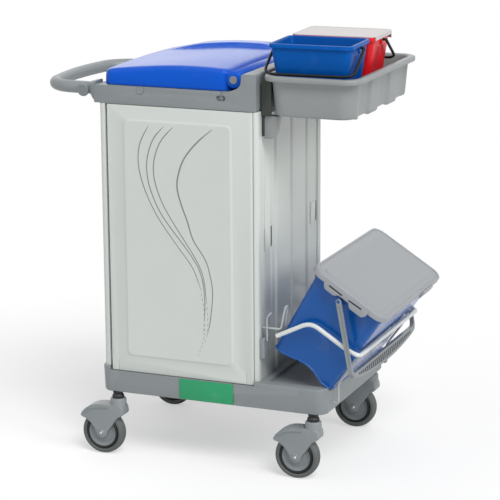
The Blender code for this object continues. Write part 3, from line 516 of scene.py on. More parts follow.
def panel_pockets(y_face, inward):
    """Shallow pockets on the inner side, with ribs left between them."""
    pockets = []
    for k in range(3):
        for m in range(4):
            cx, cz = -0.2110 + 0.1240 * k, 0.3350 + 0.1660 * m
            outline = ring(cx, cz, 0.0570, 0.0780, 0.010, 4)
            y0, y1 = sorted((y_face, y_face + inward * 0.010))
            pockets.append(slab(outline, "Y", y0, y1))
    return pockets


door_x0 = CAB_X[0] + 0.0225
knuckle = 0.0068
plan = [(door_x0, -0.2270)] + [(door_x0 + 0.003 + px, -0.2270 + py) for px, py in
                               sweep_arc(0, 0, 0.003, 180, 270, 4)]
plan += sweep_arc(DOOR_PIN[0], DOOR_PIN[1], knuckle, -90, 0, 10)
plan += [(DOOR_PIN[0] + knuckle, -0.2170), (DOOR_PIN[0] + knuckle - 0.0030, -0.2140), (door_x0, -0.2140)]
door_pin = turned([(0, 0.2225), (0.0030, 0.2225), (0.0030, 0.9410), (0, 0.9410)], (*DOOR_PIN, 0), "Z", 20)
door_cuts = [brick(0.0882, 0.0895, -0.2400, -0.2285, 0.2362, 0.2625),
             brick(-0.2712, -0.2698, -0.2400, -0.2285, 0.2200, 0.2640)]
door = shaped("side_door_panel", slab(plan, "Z", 0.2335, CAB_TOP - 0.0015),
              door_cuts + panel_pockets(-0.2205, 1), [raised_field(-0.2300, -1), door_pin], edge=0.0007, steps=2,
              sharp=38)
fitted(door, pale_shell, "door", "side_door", like="cabinet_shell")

rear_x0, rear_x1 = CAB_X[0] + 0.0174, CAB_X[1] - 0.0124
plan = [(rear_x0, 0.2140), (rear_x1, 0.2140), (rear_x1, 0.2270), (rear_x1 - 0.003, 0.2300),
        (rear_x0 + 0.003, 0.2300), (rear_x0, 0.2270)]
rear = shaped("side_panel_far", slab(plan, "Z", 0.2335, CAB_TOP - 0.0015), panel_pockets(0.2205, -1),
              [raised_field(0.2300, 1)], edge=0.0007, steps=2, sharp=38)
fitted(rear, pale_shell, "base", "side_panel_rear", like="cabinet_shell")

# ------------------------------------------------------------------ printed lines on the door
# Thin sweeping lines are printed in grey on the raised middle of the door. The ink
# stands a hair above the plastic, and the lines break into dashes at their feet.
INK_Y = -0.23325
SWEEPS = (
    (((-0.1726, 0.8861), (-0.1957, 0.8434), (-0.2030, 0.8017), (-0.1975, 0.7574), (-0.1792, 0.7054),
      (-0.1482, 0.6480), (-0.0951, 0.5775), (-0.0560, 0.5270), (-0.0330, 0.4700)), 0.0013, 0.0010),
    (((-0.1311, 0.8859), (-0.1605, 0.8516), (-0.1773, 0.8035), (-0.1782, 0.7588), (-0.1663, 0.7123),
      (-0.1353, 0.6521), (-0.0604, 0.5596), (-0.0330, 0.5100), (-0.0235, 0.4500), (-0.0250, 0.3900)),
     0.0014, 0.0011),
    (((-0.1058, 0.8859), (-0.1381, 0.8502), (-0.1564, 0.8077), (-0.1605, 0.7660), (-0.1502, 0.7195),
      (-0.1223, 0.6620), (-0.0478, 0.5516), (-0.0260, 0.5000), (-0.0185, 0.4350)), 0.0014, 0.0011),
    (((0.0021, 0.8869), (-0.0404, 0.8507), (-0.0758, 0.8074), (-0.0921, 0.7650), (-0.0959, 0.7323),
      (-0.0869, 0.6945), (-0.0685, 0.6455), (-0.0535, 0.6001), (-0.0224, 0.5538), (-0.0101, 0.5202),
      (-0.0014, 0.4669), (-0.0086, 0.3936), (-0.0170, 0.3550)), 0.0020, 0.0012),
)


def through(points):
    """A smooth line through the points."""
    steps = 8
    out = []
    for i in range(len(points) - 1):
        p0 = Vector(points[max(0, i - 1)])
        p1, p2 = Vector(points[i]), Vector(points[i + 1])
        p3 = Vector(points[min(len(points) - 1, i + 2)])
        for k in range(steps):
            t = k / steps
            out.append(0.5 * ((2 * p1) + (p2 - p0) * t + (2 * p0 - 5 * p1 + 4 * p2 - p3) * t * t
                              + (3 * p1 - p0 - 3 * p2 + p3) * t ** 3))
    out.append(Vector(points[-1]))
    return out


def printed(line, thick, thin, verts, faces):
    """A raised ribbon of ink whose width swells in its upper part and fades to its foot."""
    start = len(verts)
    count = len(line)
    for i, p in enumerate(line):
        ahead = (line[min(i + 1, count - 1)] - line[max(i - 1, 0)]).normalized()
        side = Vector((-ahead.y, ahead.x))
        t = i / (count - 1)
        w = thin + (thick - thin) * sin(pi * min(1.0, 0.25 + t * 1.1))
        w *= min(1.0, 0.35 + t * 9.0, 0.35 + (1 - t) * 9.0)
        for s in (-1, 1):
            q = p + side * (s * w)
            verts.append((q.x, INK_Y, q.y))
            verts.append((q.x, INK_Y + 0.0006, q.y))
    for i in range(count - 1):
        a, b = start + i * 4, start + i * 4 + 4
        faces += [(a, b, b + 2, a + 2), (a + 1, a + 3, b + 3, b + 1),
                  (a, a + 1, b + 1, b), (a + 2, b + 2, b + 3, a + 3)]
    end = start + (count - 1) * 4
    faces += [(start, start + 2, start + 3, start + 1), (end, end + 1, end + 3, end + 2)]


printing_ink = moulding("printing ink", tint(122, 126, 125), roughness=0.5, grain_size=2500.0,
                        grain_height=0.00002, cloud_amount=0.10, rubbing=0.25, dust=0.0)
verts, faces = [], []
for points, thick, thin in SWEEPS:
    printed(through(points), thick, thin, verts, faces)
for x0, z0, x1, z1, count in ((-0.0335, 0.4650, -0.0290, 0.3600, 8), (-0.0240, 0.3840, -0.0460, 0.2920, 8),
                              (-0.0185, 0.4300, -0.0250, 0.3300, 7)):
    for k in range(count):
        a, b = (k + 0.15) / count, (k + 0.70) / count
        bow = 0.006 * sin(pi * (a + b) / 2)
        dash = [Vector((x0 + (x1 - x0) * t + bow, z0 + (z1 - z0) * t)) for t in (a, (a + b) / 2, b)]
        printed(dash, 0.0010 - 0.0005 * a, 0.0008 - 0.0004 * a, verts, faces)
ink = shaped("door_printed_lines", (verts, faces))
fitted(ink, printing_ink, "door", like="grey_plastic")

# ------------------------------------------------------------------ top frame
# A deep grey collar caps the posts. Its mouth opens into the cabinet, and a bar along the
# tray end carries the lid's hinge; a lock pocket and a round plug sit in its side.
FRAME_X = (-0.326, 0.118)
FRAME_Z = 0.982
BAR_Z = 1.029
LID_PIN = (0.0545, 1.0120)
PLUG_AT = (-0.1960, 0, 0.9735)

outline = [(FRAME_X[0], CAB_TOP + 0.002), (FRAME_X[0] + 0.002, CAB_TOP), (FRAME_X[1] - 0.003, CAB_TOP)]
outline += [(FRAME_X[1], CAB_TOP + 0.003), (FRAME_X[1], BAR_Z - 0.008)]
outline += [(FRAME_X[1] - 0.008 + px, BAR_Z - 0.008 + pz) for px, pz in sweep_arc(0, 0, 0.008, 10, 90, 6)]
outline += [(0.0835, BAR_Z), (LID_PIN[0] + 0.0245, BAR_Z - 0.0035)]
outline += sweep_arc(LID_PIN[0], LID_PIN[1], 0.0235, 0, -75, 14)
outline += [(LID_PIN[0] - 0.012, FRAME_Z), (FRAME_X[0] + 0.004, FRAME_Z), (FRAME_X[0], FRAME_Z - 0.004)]
mouth = ring(-0.128, 0, 0.160, 0.185, 0.020, 8)
pocket = ring(0.0235, 0.9655, 0.0155, 0.0085, 0.0080, 8)
frame_cuts = [skin([level(mouth, 0.920), level(mouth, 0.995)]),
              skin([[(x, -0.2400, z) for x, z in pocket],
                    [(0.0235 + (x - 0.0235) * 0.72, -0.2215, 0.9655 + (z - 0.9655) * 0.70) for x, z in pocket]]),
              brick(0.0245, 0.0272, -0.2400, -0.2225, 0.9680, 0.9900),
              turned([(0, -0.3), (0.0092, -0.3), (0.0092, -0.2268), (0, -0.2268)], PLUG_AT, "Y", 32)]
collar = shaped("top_frame_collar", slab(outline, "Y", -CAB_HALF, CAB_HALF), frame_cuts, edge=0.0013, steps=3,
                sharp=34)
fitted(collar, grey_moulding, "base", "top_frame", like="grey_plastic")
plug = turned([(0, -0.2262), (0.0086, -0.2262), (0.0086, -0.2300), (0.0078, -0.2308), (0.0062, -0.2304),
               (0, -0.2300)], PLUG_AT, "Y", 36)
fitted(shaped("collar_plug", plug), grey_moulding, "base", "frame_plug", like="grey_plastic")
cam = turned([(0, 0.0), (0.0062, 0.0), (0.0062, -0.0040), (0.0050, -0.0052), (0, -0.0052)],
             (0.0245, -0.2215, 0.9655), "Y", 28)
tongue = brick(0.0247, 0.0270, -0.2300, -0.2235, 0.9640, 0.9815)
lock = shaped("lock_cam", cam, (), [tongue], edge=0.0004, steps=2)
fitted(lock, hub_grey, "base", "frame_latch", like="grey_plastic")

# ------------------------------------------------------------------ push handle
# A bow of grey tube for pushing the cart. Each end goes into a flared socket screwed to
# the frame, and a round cap covers the cross bolt.
HANDLE_Z, HANDLE_R, HANDLE_HALF = 0.968, 0.0160, 0.197


def bent_rod_tree():
    """A round bar along a path of edges, with flat closed ends."""
    tree = bpy.data.node_groups.new("bent rod", "GeometryNodeTree")
    face = tree.interface
    face.new_socket("Path", in_out="INPUT", socket_type="NodeSocketGeometry")
    face.new_socket("Radius", in_out="INPUT", socket_type="NodeSocketFloat").default_value = 0.003
    face.new_socket("Sides", in_out="INPUT", socket_type="NodeSocketInt").default_value = 12
    face.new_socket("Finish", in_out="INPUT", socket_type="NodeSocketMaterial")
    face.new_socket("Bar", in_out="OUTPUT", socket_type="NodeSocketGeometry")
    node, link = tree.nodes.new, tree.links.new
    given, out = node("NodeGroupInput"), node("NodeGroupOutput")
    line, section = node("GeometryNodeMeshToCurve"), node("GeometryNodeCurvePrimitiveCircle")
    bar = node("GeometryNodeCurveToMesh")
    real, paint = node("GeometryNodeRealizeInstances"), node("GeometryNodeSetMaterial")
    bar.inputs["Fill Caps"].default_value = True
    link(given.outputs["Path"], line.inputs["Mesh"])
    link(given.outputs["Radius"], section.inputs["Radius"])
    link(given.outputs["Sides"], section.inputs["Resolution"])
    link(line.outputs["Curve"], bar.inputs["Curve"])
    link(section.outputs["Curve"], bar.inputs["Profile Curve"])
    link(bar.outputs["Mesh"], real.inputs["Geometry"])
    link(real.outputs["Geometry"], paint.inputs["Geometry"])
    link(given.outputs["Finish"], paint.inputs["Material"])
    link(paint.outputs["Geometry"], out.inputs["Bar"])
    return tree


def grown(name, base, tree, **values):
    """Runs a tree on a base object and keeps the plain mesh it makes."""
    mod = base.modifiers.new("grow", "NODES")
    mod.node_group = tree
    for item in tree.interface.items_tree:
        if item.item_type == "SOCKET" and item.in_out == "INPUT" and item.name in values:
            mod[item.identifier] = values[item.name]
    settle(base, 40)
    base.name = name
    mesh = base.data
    bm = bmesh.new()
    bm.from_mesh(mesh)
    bmesh.ops.remove_doubles(bm, verts=bm.verts, dist=1e-6)
    bmesh.ops.recalc_face_normals(bm, faces=bm.faces)
    bm.to_mesh(mesh)
    bm.free()
    return base


bent_rod = bent_rod_tree()


def rod(name, path, radius, finish, sides=14):
    """A bar of round section along the path."""
    mesh = bpy.data.meshes.new(name)
    mesh.from_pydata([tuple(p) for p in path], [(i, i + 1) for i in range(len(path) - 1)], [])
    base = bpy.data.objects.new(name, mesh)
    bpy.context.scene.collection.objects.link(base)
    return grown(name, base, bent_rod, Radius=radius, Sides=sides, Finish=finish)


bow = [(-0.3453, -HANDLE_HALF), (-0.399, -HANDLE_HALF)]
bow += sweep_arc(-0.399, -HANDLE_HALF + 0.082, 0.082, -90, -166, 12)[1:]
bow += [(-0.4868, -0.075), (-0.4895, -0.040), (-0.4912, -0.015)]
bow = [(x, y, HANDLE_Z) for x, y in bow]
bow += [(-0.4915, 0.0, HANDLE_Z)] + [(x, -y, z) for x, y, z in reversed(bow)]
handle = rod("push_handle_bow", bow, HANDLE_R, grey_moulding, 28)
fitted(handle, grey_moulding, "base", "handle_bow", like="grey_plastic")

for side, tag in ((-1, "front"), (1, "rear")):
    y = side * HANDLE_HALF
    loops = []
    for x, hy, hz, r, mid in ((-0.3264, 0.0250, 0.0255, 0.0070, 0.9640), (-0.3300, 0.0248, 0.0253, 0.0080, 0.9640),
                              (-0.3345, 0.0236, 0.0242, 0.0110, 0.9645), (-0.3390, 0.0214, 0.0220, 0.0150, 0.9655),
                              (-0.3430, 0.0195, 0.0198, 0.0170, 0.9668), (-0.3452, 0.0186, 0.0188, 0.0175, 0.9675)):
        loops.append([(x, yy, zz) for yy, zz in ring(y, mid, hy, hz, r, 6)])
    socket = shaped("handle_socket_" + tag, skin(loops), edge=0.0006, steps=2)
    fitted(socket, grey_moulding, "base", "handle_socket_" + tag, like="grey_plastic")
    face_y = side * (HANDLE_HALF + HANDLE_R + 0.0003)
    cap = [(0, 0), (0.0135, 0), (0.0158, 0.0010), (0.0162, 0.0040), (0.0152, 0.0068), (0.0138, 0.0078),
           (0.0120, 0.0074), (0.0060, 0.0082), (0, 0.0084)]
    cap = [(r, side * h) for r, h in cap]
    cap_piece = shaped("handle_end_cap_" + tag, turned(cap, (-0.3615, face_y, 0.9640), "Y", 44))
    fitted(cap_piece, hub_grey, "base", "handle_cap_" + tag, like="grey_plastic")

# ------------------------------------------------------------------ blue lid
# The lid over the cabinet's mouth is a glossy blue shell, arched along the cart, with a deep
# skirt and a raised band along its far edge. It hinges on a barrel at the tray end.
LID_X = (-0.305, 0.041)
LID_HALF = 0.217
CREST = ((-0.312, 1.0180), (-0.290, 1.0215), (-0.262, 1.0252), (-0.210, 1.0308), (-0.155, 1.0355),
         (-0.110, 1.0382), (-0.070, 1.0392), (-0.030, 1.0388), (0.000, 1.0378), (0.030, 1.0352), (0.062, 1.0310))
lid_blue = moulding("glossy blue lid", tint(0, 84, 198), coat=0.0, specular=0.13, roughness=0.19,
                    grain_size=420.0, grain_height=0.000007, cloud_amount=0.05, rubbing=0.07, dust=0.06)


def eased(t):
    """From 0 to 1 with a soft start and a soft end."""
    t = min(1.0, max(0.0, t))
    return t * t * (3 - 2 * t)


def crown_height(x, y):
    """Height of the lid's top: the arched crest, a slight crown across it and the far band."""
    z = CREST[-1][1]
    for k, ((x0, z0), (x1, z1)) in enumerate(zip(CREST, CREST[1:])):
        if x0 <= x <= x1:
            zb = CREST[max(0, k - 1)]
            za = CREST[min(len(CREST) - 1, k + 2)]
            m0 = (z1 - zb[1]) / (x1 - zb[0]) * (x1 - x0)
            m1 = (za[1] - z0) / (za[0] - x0) * (x1 - x0)
            t = (x - x0) / (x1 - x0)
            z = ((2 * t ** 3 - 3 * t * t + 1) * z0 + (t ** 3 - 2 * t * t + t) * m0
                 + (-2 * t ** 3 + 3 * t * t) * z1 + (t ** 3 - t * t) * m1)
            break
    z += 0.004 * (1.0 - (abs(y) / LID_HALF) ** 2)
    edge = 0.141 - 0.034 * max(0.0, (-0.085 - x) / 0.150) ** 1.15
    band = eased((y - edge) / 0.009)
    reach = eased((x + 0.292) / 0.120) * eased((0.038 - x) / 0.060)
    return z + 0.0095 * band * reach


def lid_ring(inset, drop=None):
    """Outline of the lid, at its lower edge or dropped a little below its curved top."""
    loop = ring((LID_X[0] + LID_X[1]) / 2, 0, (LID_X[1] - LID_X[0]) / 2 - inset, LID_HALF - inset,
                max(0.006, 0.024 - inset * 0.6), 6, 56, 64)
    if drop is None:
        return level(loop, FRAME_Z + 0.0015)
    return [(x, y, crown_height(x, y) - drop) for x, y in loop]


def crowned(loops, columns, height):
    """Walls between loops, closed by a curved top whose first and last rows are the loop's own ends."""
    verts, faces = skin(loops, bottom=False, top=False)
    count = len(loops[0])
    start = (len(loops) - 1) * count
    half = count // 2 - columns + 1
    grid = []
    for i in range(half):
        a, b = start + i, start + 2 * half + columns - 2 - i
        row = [a]
        pa, pb = verts[a], verts[b]
        for k in range(1, columns):
            if i == 0:
                row.append(start + count - k)
            elif i == half - 1:
                row.append(a + k)
            else:
                t = k / columns
                x, y = pa[0] + (pb[0] - pa[0]) * t, pa[1] + (pb[1] - pa[1]) * t
                row.append(len(verts))
                verts.append((x, y, height(x, y)))
        row.append(b)
        grid.append(row)
    for r0, r1 in zip(grid, grid[1:]):
        faces += [(r0[k], r1[k], r1[k + 1], r0[k + 1]) for k in range(columns)]
    return verts, faces


def together(first, second):
    """Two shapes as one."""
    start = len(first[0])
    return first[0] + second[0], first[1] + [tuple(start + i for i in face) for face in second[1]]


outer = [lid_ring(0.0050), lid_ring(0.0), lid_ring(0.0, 0.0240), lid_ring(0.0004, 0.0120),
         lid_ring(0.0014, 0.0072), lid_ring(0.0032, 0.0040), lid_ring(0.0058, 0.0018), lid_ring(0.0092, 0.0006),
         lid_ring(0.0140, 0.0001), lid_ring(0.0190, 0.0)]
shell = crowned(outer, 64, crown_height)
inner = [lid_ring(0.0050), lid_ring(0.0052, 0.0250), lid_ring(0.0095, 0.0095), lid_ring(0.0160, 0.0050),
         lid_ring(0.0200, 0.0042)]
hollow = crowned(inner, 64, lambda x, y: crown_height(x, y) - 0.0042)
barrel = turned([(0.0065, -LID_HALF + 0.001), (0.0195, -LID_HALF + 0.001), (0.0215, -LID_HALF + 0.003),
                 (0.0215, LID_HALF - 0.003), (0.0195, LID_HALF - 0.001), (0.0065, LID_HALF - 0.001)],
                (LID_PIN[0], 0, LID_PIN[1]), "Y", 56)
lid = shaped("blue_lid", together(shell, hollow), (), [barrel], sharp=50)
fitted(lid, lid_blue, "main_lid", "lid", like="lid_blue")
for side, tag in ((-1, "front"), (1, "rear")):
    end = LID_HALF + 0.0004
    pin = [(0, 0.150), (0.0060, 0.150), (0.0060, end), (0.0094, end), (0.0104, end + 0.0012),
           (0.0098, end + 0.0036), (0.0074, end + 0.0042), (0.0040, end + 0.0036), (0, end + 0.0036)]
    pin = [(r, side * h) for r, h in pin]
    fitted(shaped("lid_hinge_pin_" + tag, turned(pin, (LID_PIN[0], 0, LID_PIN[1]), "Y", 36)), hub_grey,
           "main_lid", "lid_pin_" + tag, like="grey_plastic")

# ------------------------------------------------------------------ tray on its bracket
# A deep open tray in mid-grey hangs on the tray end. It has a rolled rim, fluted end
# walls and a bottom edge that follows the flutes; a rail and two gussets carry it.
TRAY_X = (0.134, 0.387)
TRAY_HALF, TRAY_MID = 0.2435, 0.0015
TRAY_Z = (0.924, 1.030)
tray_grey = moulding("tray grey", tint(140, 144, 145), specular=0.4, roughness=0.40, grain_size=1200.0,
                     grain_height=0.00005, cloud_amount=0.05, dust=0.06)


def tray_ring(inset, radius, z, flute=0.0, scallop=0.0):
    """Outline of the tray at one height, fluted and scalloped along its two end walls."""
    cx = (TRAY_X[0] + TRAY_X[1]) / 2
    hx = (TRAY_X[1] - TRAY_X[0]) / 2 - inset
    hy = TRAY_HALF - inset
    out = []
    for x, y in ring(cx, TRAY_MID, hx, hy, radius, 8, 12, 96):
        wave = eased((0.5 - 0.5 * cos(2 * pi * (y + 0.1290) / 0.1460) - 0.30) / 0.40)
        ease = eased((hy - abs(y - TRAY_MID) - 0.020) / 0.030)
        side = 1 if x > cx else -1
        on_end = eased((abs(x - cx) - (hx - radius)) / max(radius, 0.001))
        out.append((x - side * 1.6 * flute * (1 - wave) * ease * on_end, y,
                    z - 1.4 * scallop * wave * ease * on_end))
    return out


rim = TRAY_Z[1] - 0.0145
low, high = TRAY_Z
tray_rows = ((0.0420, 0.022, low + 0.0035), (0.0300, 0.030, low + 0.0030, 0.002, 0.003),
             (0.0262, 0.033, low + 0.0038, 0.003, 0.0032), (0.0232, 0.035, low + 0.0060, 0.004, 0.0026),
             (0.0217, 0.036, low + 0.0100, 0.0045, 0.0012), (0.0190, 0.036, 0.9700, 0.0045),
             (0.0165, 0.036, 1.0040, 0.0040), (0.0150, 0.036, rim - 0.0005, 0.0030),
             (0.0145, 0.036, rim + 0.0006, 0.002), (0.0045, 0.040, rim + 0.0006),
             (0.0012, 0.041, rim + 0.0010), (0.0, 0.042, rim + 0.0030), (0.0, 0.042, high - 0.0040),
             (0.0012, 0.0415, high - 0.0012), (0.0040, 0.040, high), (0.0130, 0.036, high),
             (0.0158, 0.035, high - 0.0010), (0.0175, 0.034, high - 0.0050), (0.0193, 0.034, 1.0040, 0.0020),
             (0.0218, 0.033, 0.9700, 0.0020), (0.0252, 0.032, low + 0.0085, 0.0020),
             (0.0285, 0.030, low + 0.0050), (0.0330, 0.028, low + 0.0040))
tray = shaped("end_tray", skin([tray_ring(*row) for row in tray_rows]), sharp=60)
fitted(tray, tray_grey, "tray_unit", "tray", like="grey_plastic")

# The rail and its flanges are coloured dark grey: painted shade for the shadowed gap between cabinet and tray.
rail_grey_painted_shade = moulding("rail grey with painted shade", tint(60, 65, 60), specular=0.25, roughness=0.48, grain_size=900.0,
                        grain_height=0.00006, cloud_amount=0.08, dust=0.05)
RAIL_X = (CAB_X[1] + 0.0004, CAB_X[1] + 0.0055)
flanges = [brick(CAB_X[1] + 0.0030, 0.1495, *on_side(side, 0.2015, 0.2050), 0.925, 1.0115) for side in (-1, 1)]
tabs = [brick(*RAIL_X, *on_side(side, 0.1700, 0.2000), 0.872, 0.930) for side in (-1, 1)]
rail = shaped("tray_rail_bar", brick(*RAIL_X, -0.205, 0.205, 0.9235, 1.006), (), flanges + tabs,
              edge=0.0010, steps=2)
fitted(rail, rail_grey_painted_shade, "base", "tray_rail", like="grey_plastic")
for side, tag in ((-1, "front"), (1, "rear")):
    wedge = [(CAB_X[1] + 0.006, 0.866), (0.1450, 0.866), (0.1490, 0.8672), (0.1515, 0.872), (0.1570, 0.880),
             (0.1655, 0.9236), (CAB_X[1] + 0.006, 0.9236)]
    gusset = shaped("tray_gusset_piece_" + tag, slab(wedge, "Y", *on_side(side, 0.172, 0.198)),
                    edge=0.0012, steps=2)
    fitted(gusset, tray_grey, "base", "tray_gusset_" + tag, like="grey_plastic")

# ------------------------------------------------------------------ blue and red buckets
# Two small moulded buckets stand in the tray, each with a rolled rim, a sunk panel in
# each end and a coated wire bail. The red one has a pale cover pushed down over its rim.
BUCKET_Z = (0.9285, 1.107)
BUCKET_HALF = (0.108, 0.0825)
BUCKET_TURN = 2.6
BLUE_AT, RED_AT = (0.2487, -0.131), (0.2483, 0.0355)
BAIL_ARM, BAIL_DROOP = 0.109, radians(33)
bucket_blue = moulding("bucket blue", tint(0, 83, 166), coat=0.0, specular=0.08, roughness=0.30, grain_size=800.0,
                       grain_height=0.00003, cloud_amount=0.05, rubbing=0.10, dust=0.03)
bucket_red = moulding("bucket red", tint(222, 26, 38), coat=0.0, specular=0.2, roughness=0.30, grain_size=800.0,
                      grain_height=0.00003, cloud_amount=0.05, rubbing=0.10, dust=0.03)
cover_pale = moulding("pale cover", tint(192, 186, 186), roughness=0.40, grain_size=900.0,
                      grain_height=0.00004, cloud_amount=0.04, dust=0.05)
bail_coat = moulding("black coated wire", tint(17, 19, 18), specular=0.2, roughness=0.42, grain_size=700.0,
                     grain_height=0.00005, cloud_amount=0.15, dust=0.04)


def bucket_turn(cx, cy):
    """A bucket stands in the tray turned a little about its own middle."""
    return (Matrix.Translation((cx, cy, 0)) @ Matrix.Rotation(radians(BUCKET_TURN), 4, "Z")
            @ Matrix.Translation((-cx, -cy, 0)))


def bucket_body(cx, cy):
    """A bucket from its foot up the outside, over the rolled rim and down the inside."""
    hx, hy = BUCKET_HALF
    low, high = BUCKET_Z
    rows = ((0.0340, 0.0295, 0.008, low + 0.0012), (0.0300, 0.0255, 0.010, low),
            (0.0286, 0.0241, 0.0110, low + 0.0010), (0.0276, 0.0231, 0.0120, low + 0.0035),
            (0.0140, 0.0120, 0.014, 1.032), (0.0060, 0.0066, 0.015, high - 0.0200),
            (0.0050, 0.0060, 0.015, high - 0.0112), (0.0044, 0.0054, 0.0155, high - 0.0106),
            (0.0010, 0.0010, 0.0165, high - 0.0104), (0.0, 0.0, 0.017, high - 0.0094),
            (0.0, 0.0, 0.017, high - 0.0028), (0.0008, 0.0008, 0.0165, high - 0.0008),
            (0.0024, 0.0024, 0.015, high), (0.0054, 0.0062, 0.012, high), (0.0070, 0.0080, 0.012, high - 0.0014),
            (0.0080, 0.0090, 0.012, high - 0.0060), (0.0168, 0.0150, 0.012, 1.032),
            (0.0300, 0.0255, 0.0095, low + 0.0065), (0.0318, 0.0273, 0.0085, low + 0.0036),
            (0.0350, 0.0305, 0.0070, low + 0.0030))
    return skin([level(ring(cx, cy, hx - dx, hy - dy, r, 8), z) for dx, dy, r, z in rows])


def sunk_panel(cx, cy, side):
    """Cutter for the tapered panel sunk in an end wall."""
    loops = []
    for z, wide in ((0.945, 0.040), (1.076, 0.026)):
        depth_at = BUCKET_HALF[0] - 0.0276 + (z - 0.932) * (0.0276 - 0.0060) / 0.155
        inner, outer = cx + side * (depth_at - 0.0016), cx + side * (depth_at + 0.0200)
        x0, x1 = sorted((inner, outer))
        loops.append([(x0, cy - wide, z), (x1, cy - wide, z), (x1, cy + wide, z), (x0, cy + wide, z)])
    return skin(loops)


def bend(points, radius, steps):
    """Rounds the corners of a bent bar's path."""
    pts = [Vector(p) for p in points]
    out = [pts[0]]
    for before, here, after in zip(pts, pts[1:], pts[2:]):
        into, away = before - here, after - here
        reach = min(radius, into.length * 0.45, away.length * 0.45)
        a, b = here + into.normalized() * reach, here + away.normalized() * reach
        for k in range(steps + 1):
            t = k / steps
            out.append(a * (1 - t) ** 2 + here * 2 * t * (1 - t) + b * t * t)
    out.append(pts[-1])
    return out


for tag, (cx, cy), finish, toward in (("blue", BLUE_AT, bucket_blue, -1), ("red", RED_AT, bucket_red, 1)):
    pivot_z = BUCKET_Z[1] - 0.0135
    ears = []
    for side in (-1, 1):
        ear = turned([(0, 0.0), (0.0105, 0.0), (0.0105, 0.0050), (0.0092, 0.0062), (0, 0.0062)],
                     (0, 0, 0), "X", 28)
        ears.append(([(cx + side * (0.1000 + x), cy + y, pivot_z - 0.0030 + z) for x, y, z in ear[0]], ear[1]))
    cutters = [sunk_panel(cx, cy, -1), sunk_panel(cx, cy, 1)]
    body = shaped("bucket_shell_" + tag, bucket_body(cx, cy), cutters, ears, edge=0.0007, steps=2, sharp=40)
    body.data.transform(bucket_turn(cx, cy))
    fitted(body, finish, tag + "_bucket", "bucket_" + tag, like="bucket_" + tag)
    reach, fall = toward * BAIL_ARM * cos(BAIL_DROOP), -BAIL_ARM * sin(BAIL_DROOP)
    hx = BUCKET_HALF[0] + 0.0072
    path = [(cx - hx + 0.0080, cy, pivot_z), (cx - hx, cy, pivot_z), (cx - hx, cy + reach, pivot_z + fall),
            (cx + hx, cy + reach, pivot_z + fall), (cx + hx, cy, pivot_z), (cx + hx - 0.0080, cy, pivot_z)]
    path = [bucket_turn(cx, cy) @ p for p in bend(path, 0.028, 8)]
    bail = rod("bail_wire_" + tag, path, 0.0036, bail_coat, 16)
    fitted(bail, bail_coat, tag + "_bail", "bucket_bail_" + tag, like="black_wire")

# the cover is a cap over the red rim; its skirt is cut short except along the far edge
cx, cy = RED_AT
top = BUCKET_Z[1] + 0.0018
lip = [level(ring(cx, cy + 0.0017, BUCKET_HALF[0] + grow, BUCKET_HALF[1] + 0.0003 + grow - 0.0020,
                  0.017 - 0.5 * (0.002 - grow), 8), z)
       for grow, z in ((0.0012, BUCKET_Z[1] - 0.0190), (0.0020, BUCKET_Z[1] - 0.0184), (0.0020, top - 0.0016),
                       (0.0015, top - 0.0004), (0.0002, top), (-0.0080, top), (-0.0090, top - 0.0007),
                       (-0.0120, top - 0.0007))]
room = [level(ring(cx, cy - 0.040, BUCKET_HALF[0] + 0.0004, BUCKET_HALF[1] + 0.0404, 0.0165, 8), z)
        for z in (BUCKET_Z[1] - 0.040, BUCKET_Z[1] + 0.0004)]
short = brick(cx - 0.15, cx + 0.15, cy - 0.15, cy + BUCKET_HALF[1] - 0.0150,
              BUCKET_Z[1] - 0.040, BUCKET_Z[1] - 0.0085)
cover = shaped("red_bucket_cover", skin(lip), [skin(room), short], sharp=35)
cover.data.transform(bucket_turn(cx, cy))
fitted(cover, cover_pale, "red_cover", "bucket_lid_red", like="pale_grey")

# ------------------------------------------------------------------ tilted mop box
# A deep blue box for folded mops, held at a slant. Its lid is a pale grey moulding with a
# raised middle; a clip runs along each side, and a flat bail with a ribbed grip hangs down.
TILT = radians(32.5)
LID_EDGE = Vector((0.271, 0.0, 0.560))
BOX_LEN, BOX_HALF, BOX_MID = 0.224, 0.2400, 0.0015
BAIL_PIVOT, BAIL_DIR = (0.103, 0.029), Vector((0.179, 0.0, -0.984))
FLOOR = ((0.0, 0.2575), (0.030, 0.2570), (0.050, 0.2565), (0.070, 0.2520), (0.095, 0.2450), (0.120, 0.2420),
         (0.140, 0.2445), (0.158, 0.2510), (0.175, 0.2580), (0.190, 0.2585), (0.203, 0.2555), (0.230, 0.2550))
box_blue = moulding("mop box blue", tint(0, 80, 156), coat=0.35, specular=0.2, roughness=0.24, grain_size=900.0,
                    grain_height=0.00005, cloud_amount=0.05, rubbing=0.08, dust=0.04)
lid_grey = moulding("mop lid grey", tint(149, 152, 156), specular=0.4, roughness=0.42, grain_size=1100.0,
                    grain_height=0.00005, cloud_amount=0.03, dust=0.05)


def slanted(u, y, w):
    """u runs down the lid, w into the box, y across it."""
    return (LID_EDGE.x + u * cos(TILT) - w * sin(TILT), y + BOX_MID, LID_EDGE.z - u * sin(TILT) - w * cos(TILT))


def floor_depth(u):
    """How deep the box's waved floor lies under a point of the lid."""
    for (u0, w0), (u1, w1) in zip(FLOOR, FLOOR[1:]):
        if u0 <= u <= u1:
            return w0 + (w1 - w0) * eased((u - u0) / (u1 - u0))
    return FLOOR[-1][1]


def box_ring(u0, u1, hy, r, depth, along=28, on_floor=False):
    """Outline of the box or its lid at one depth, or following the waved floor."""
    loop = ring((u0 + u1) / 2, 0, (u1 - u0) / 2, hy, r, 6, along, 1)
    if on_floor:
        return [slanted(u, y, floor_depth(u) + depth) for u, y in loop]
    return [slanted(u, y, depth) for u, y in loop]


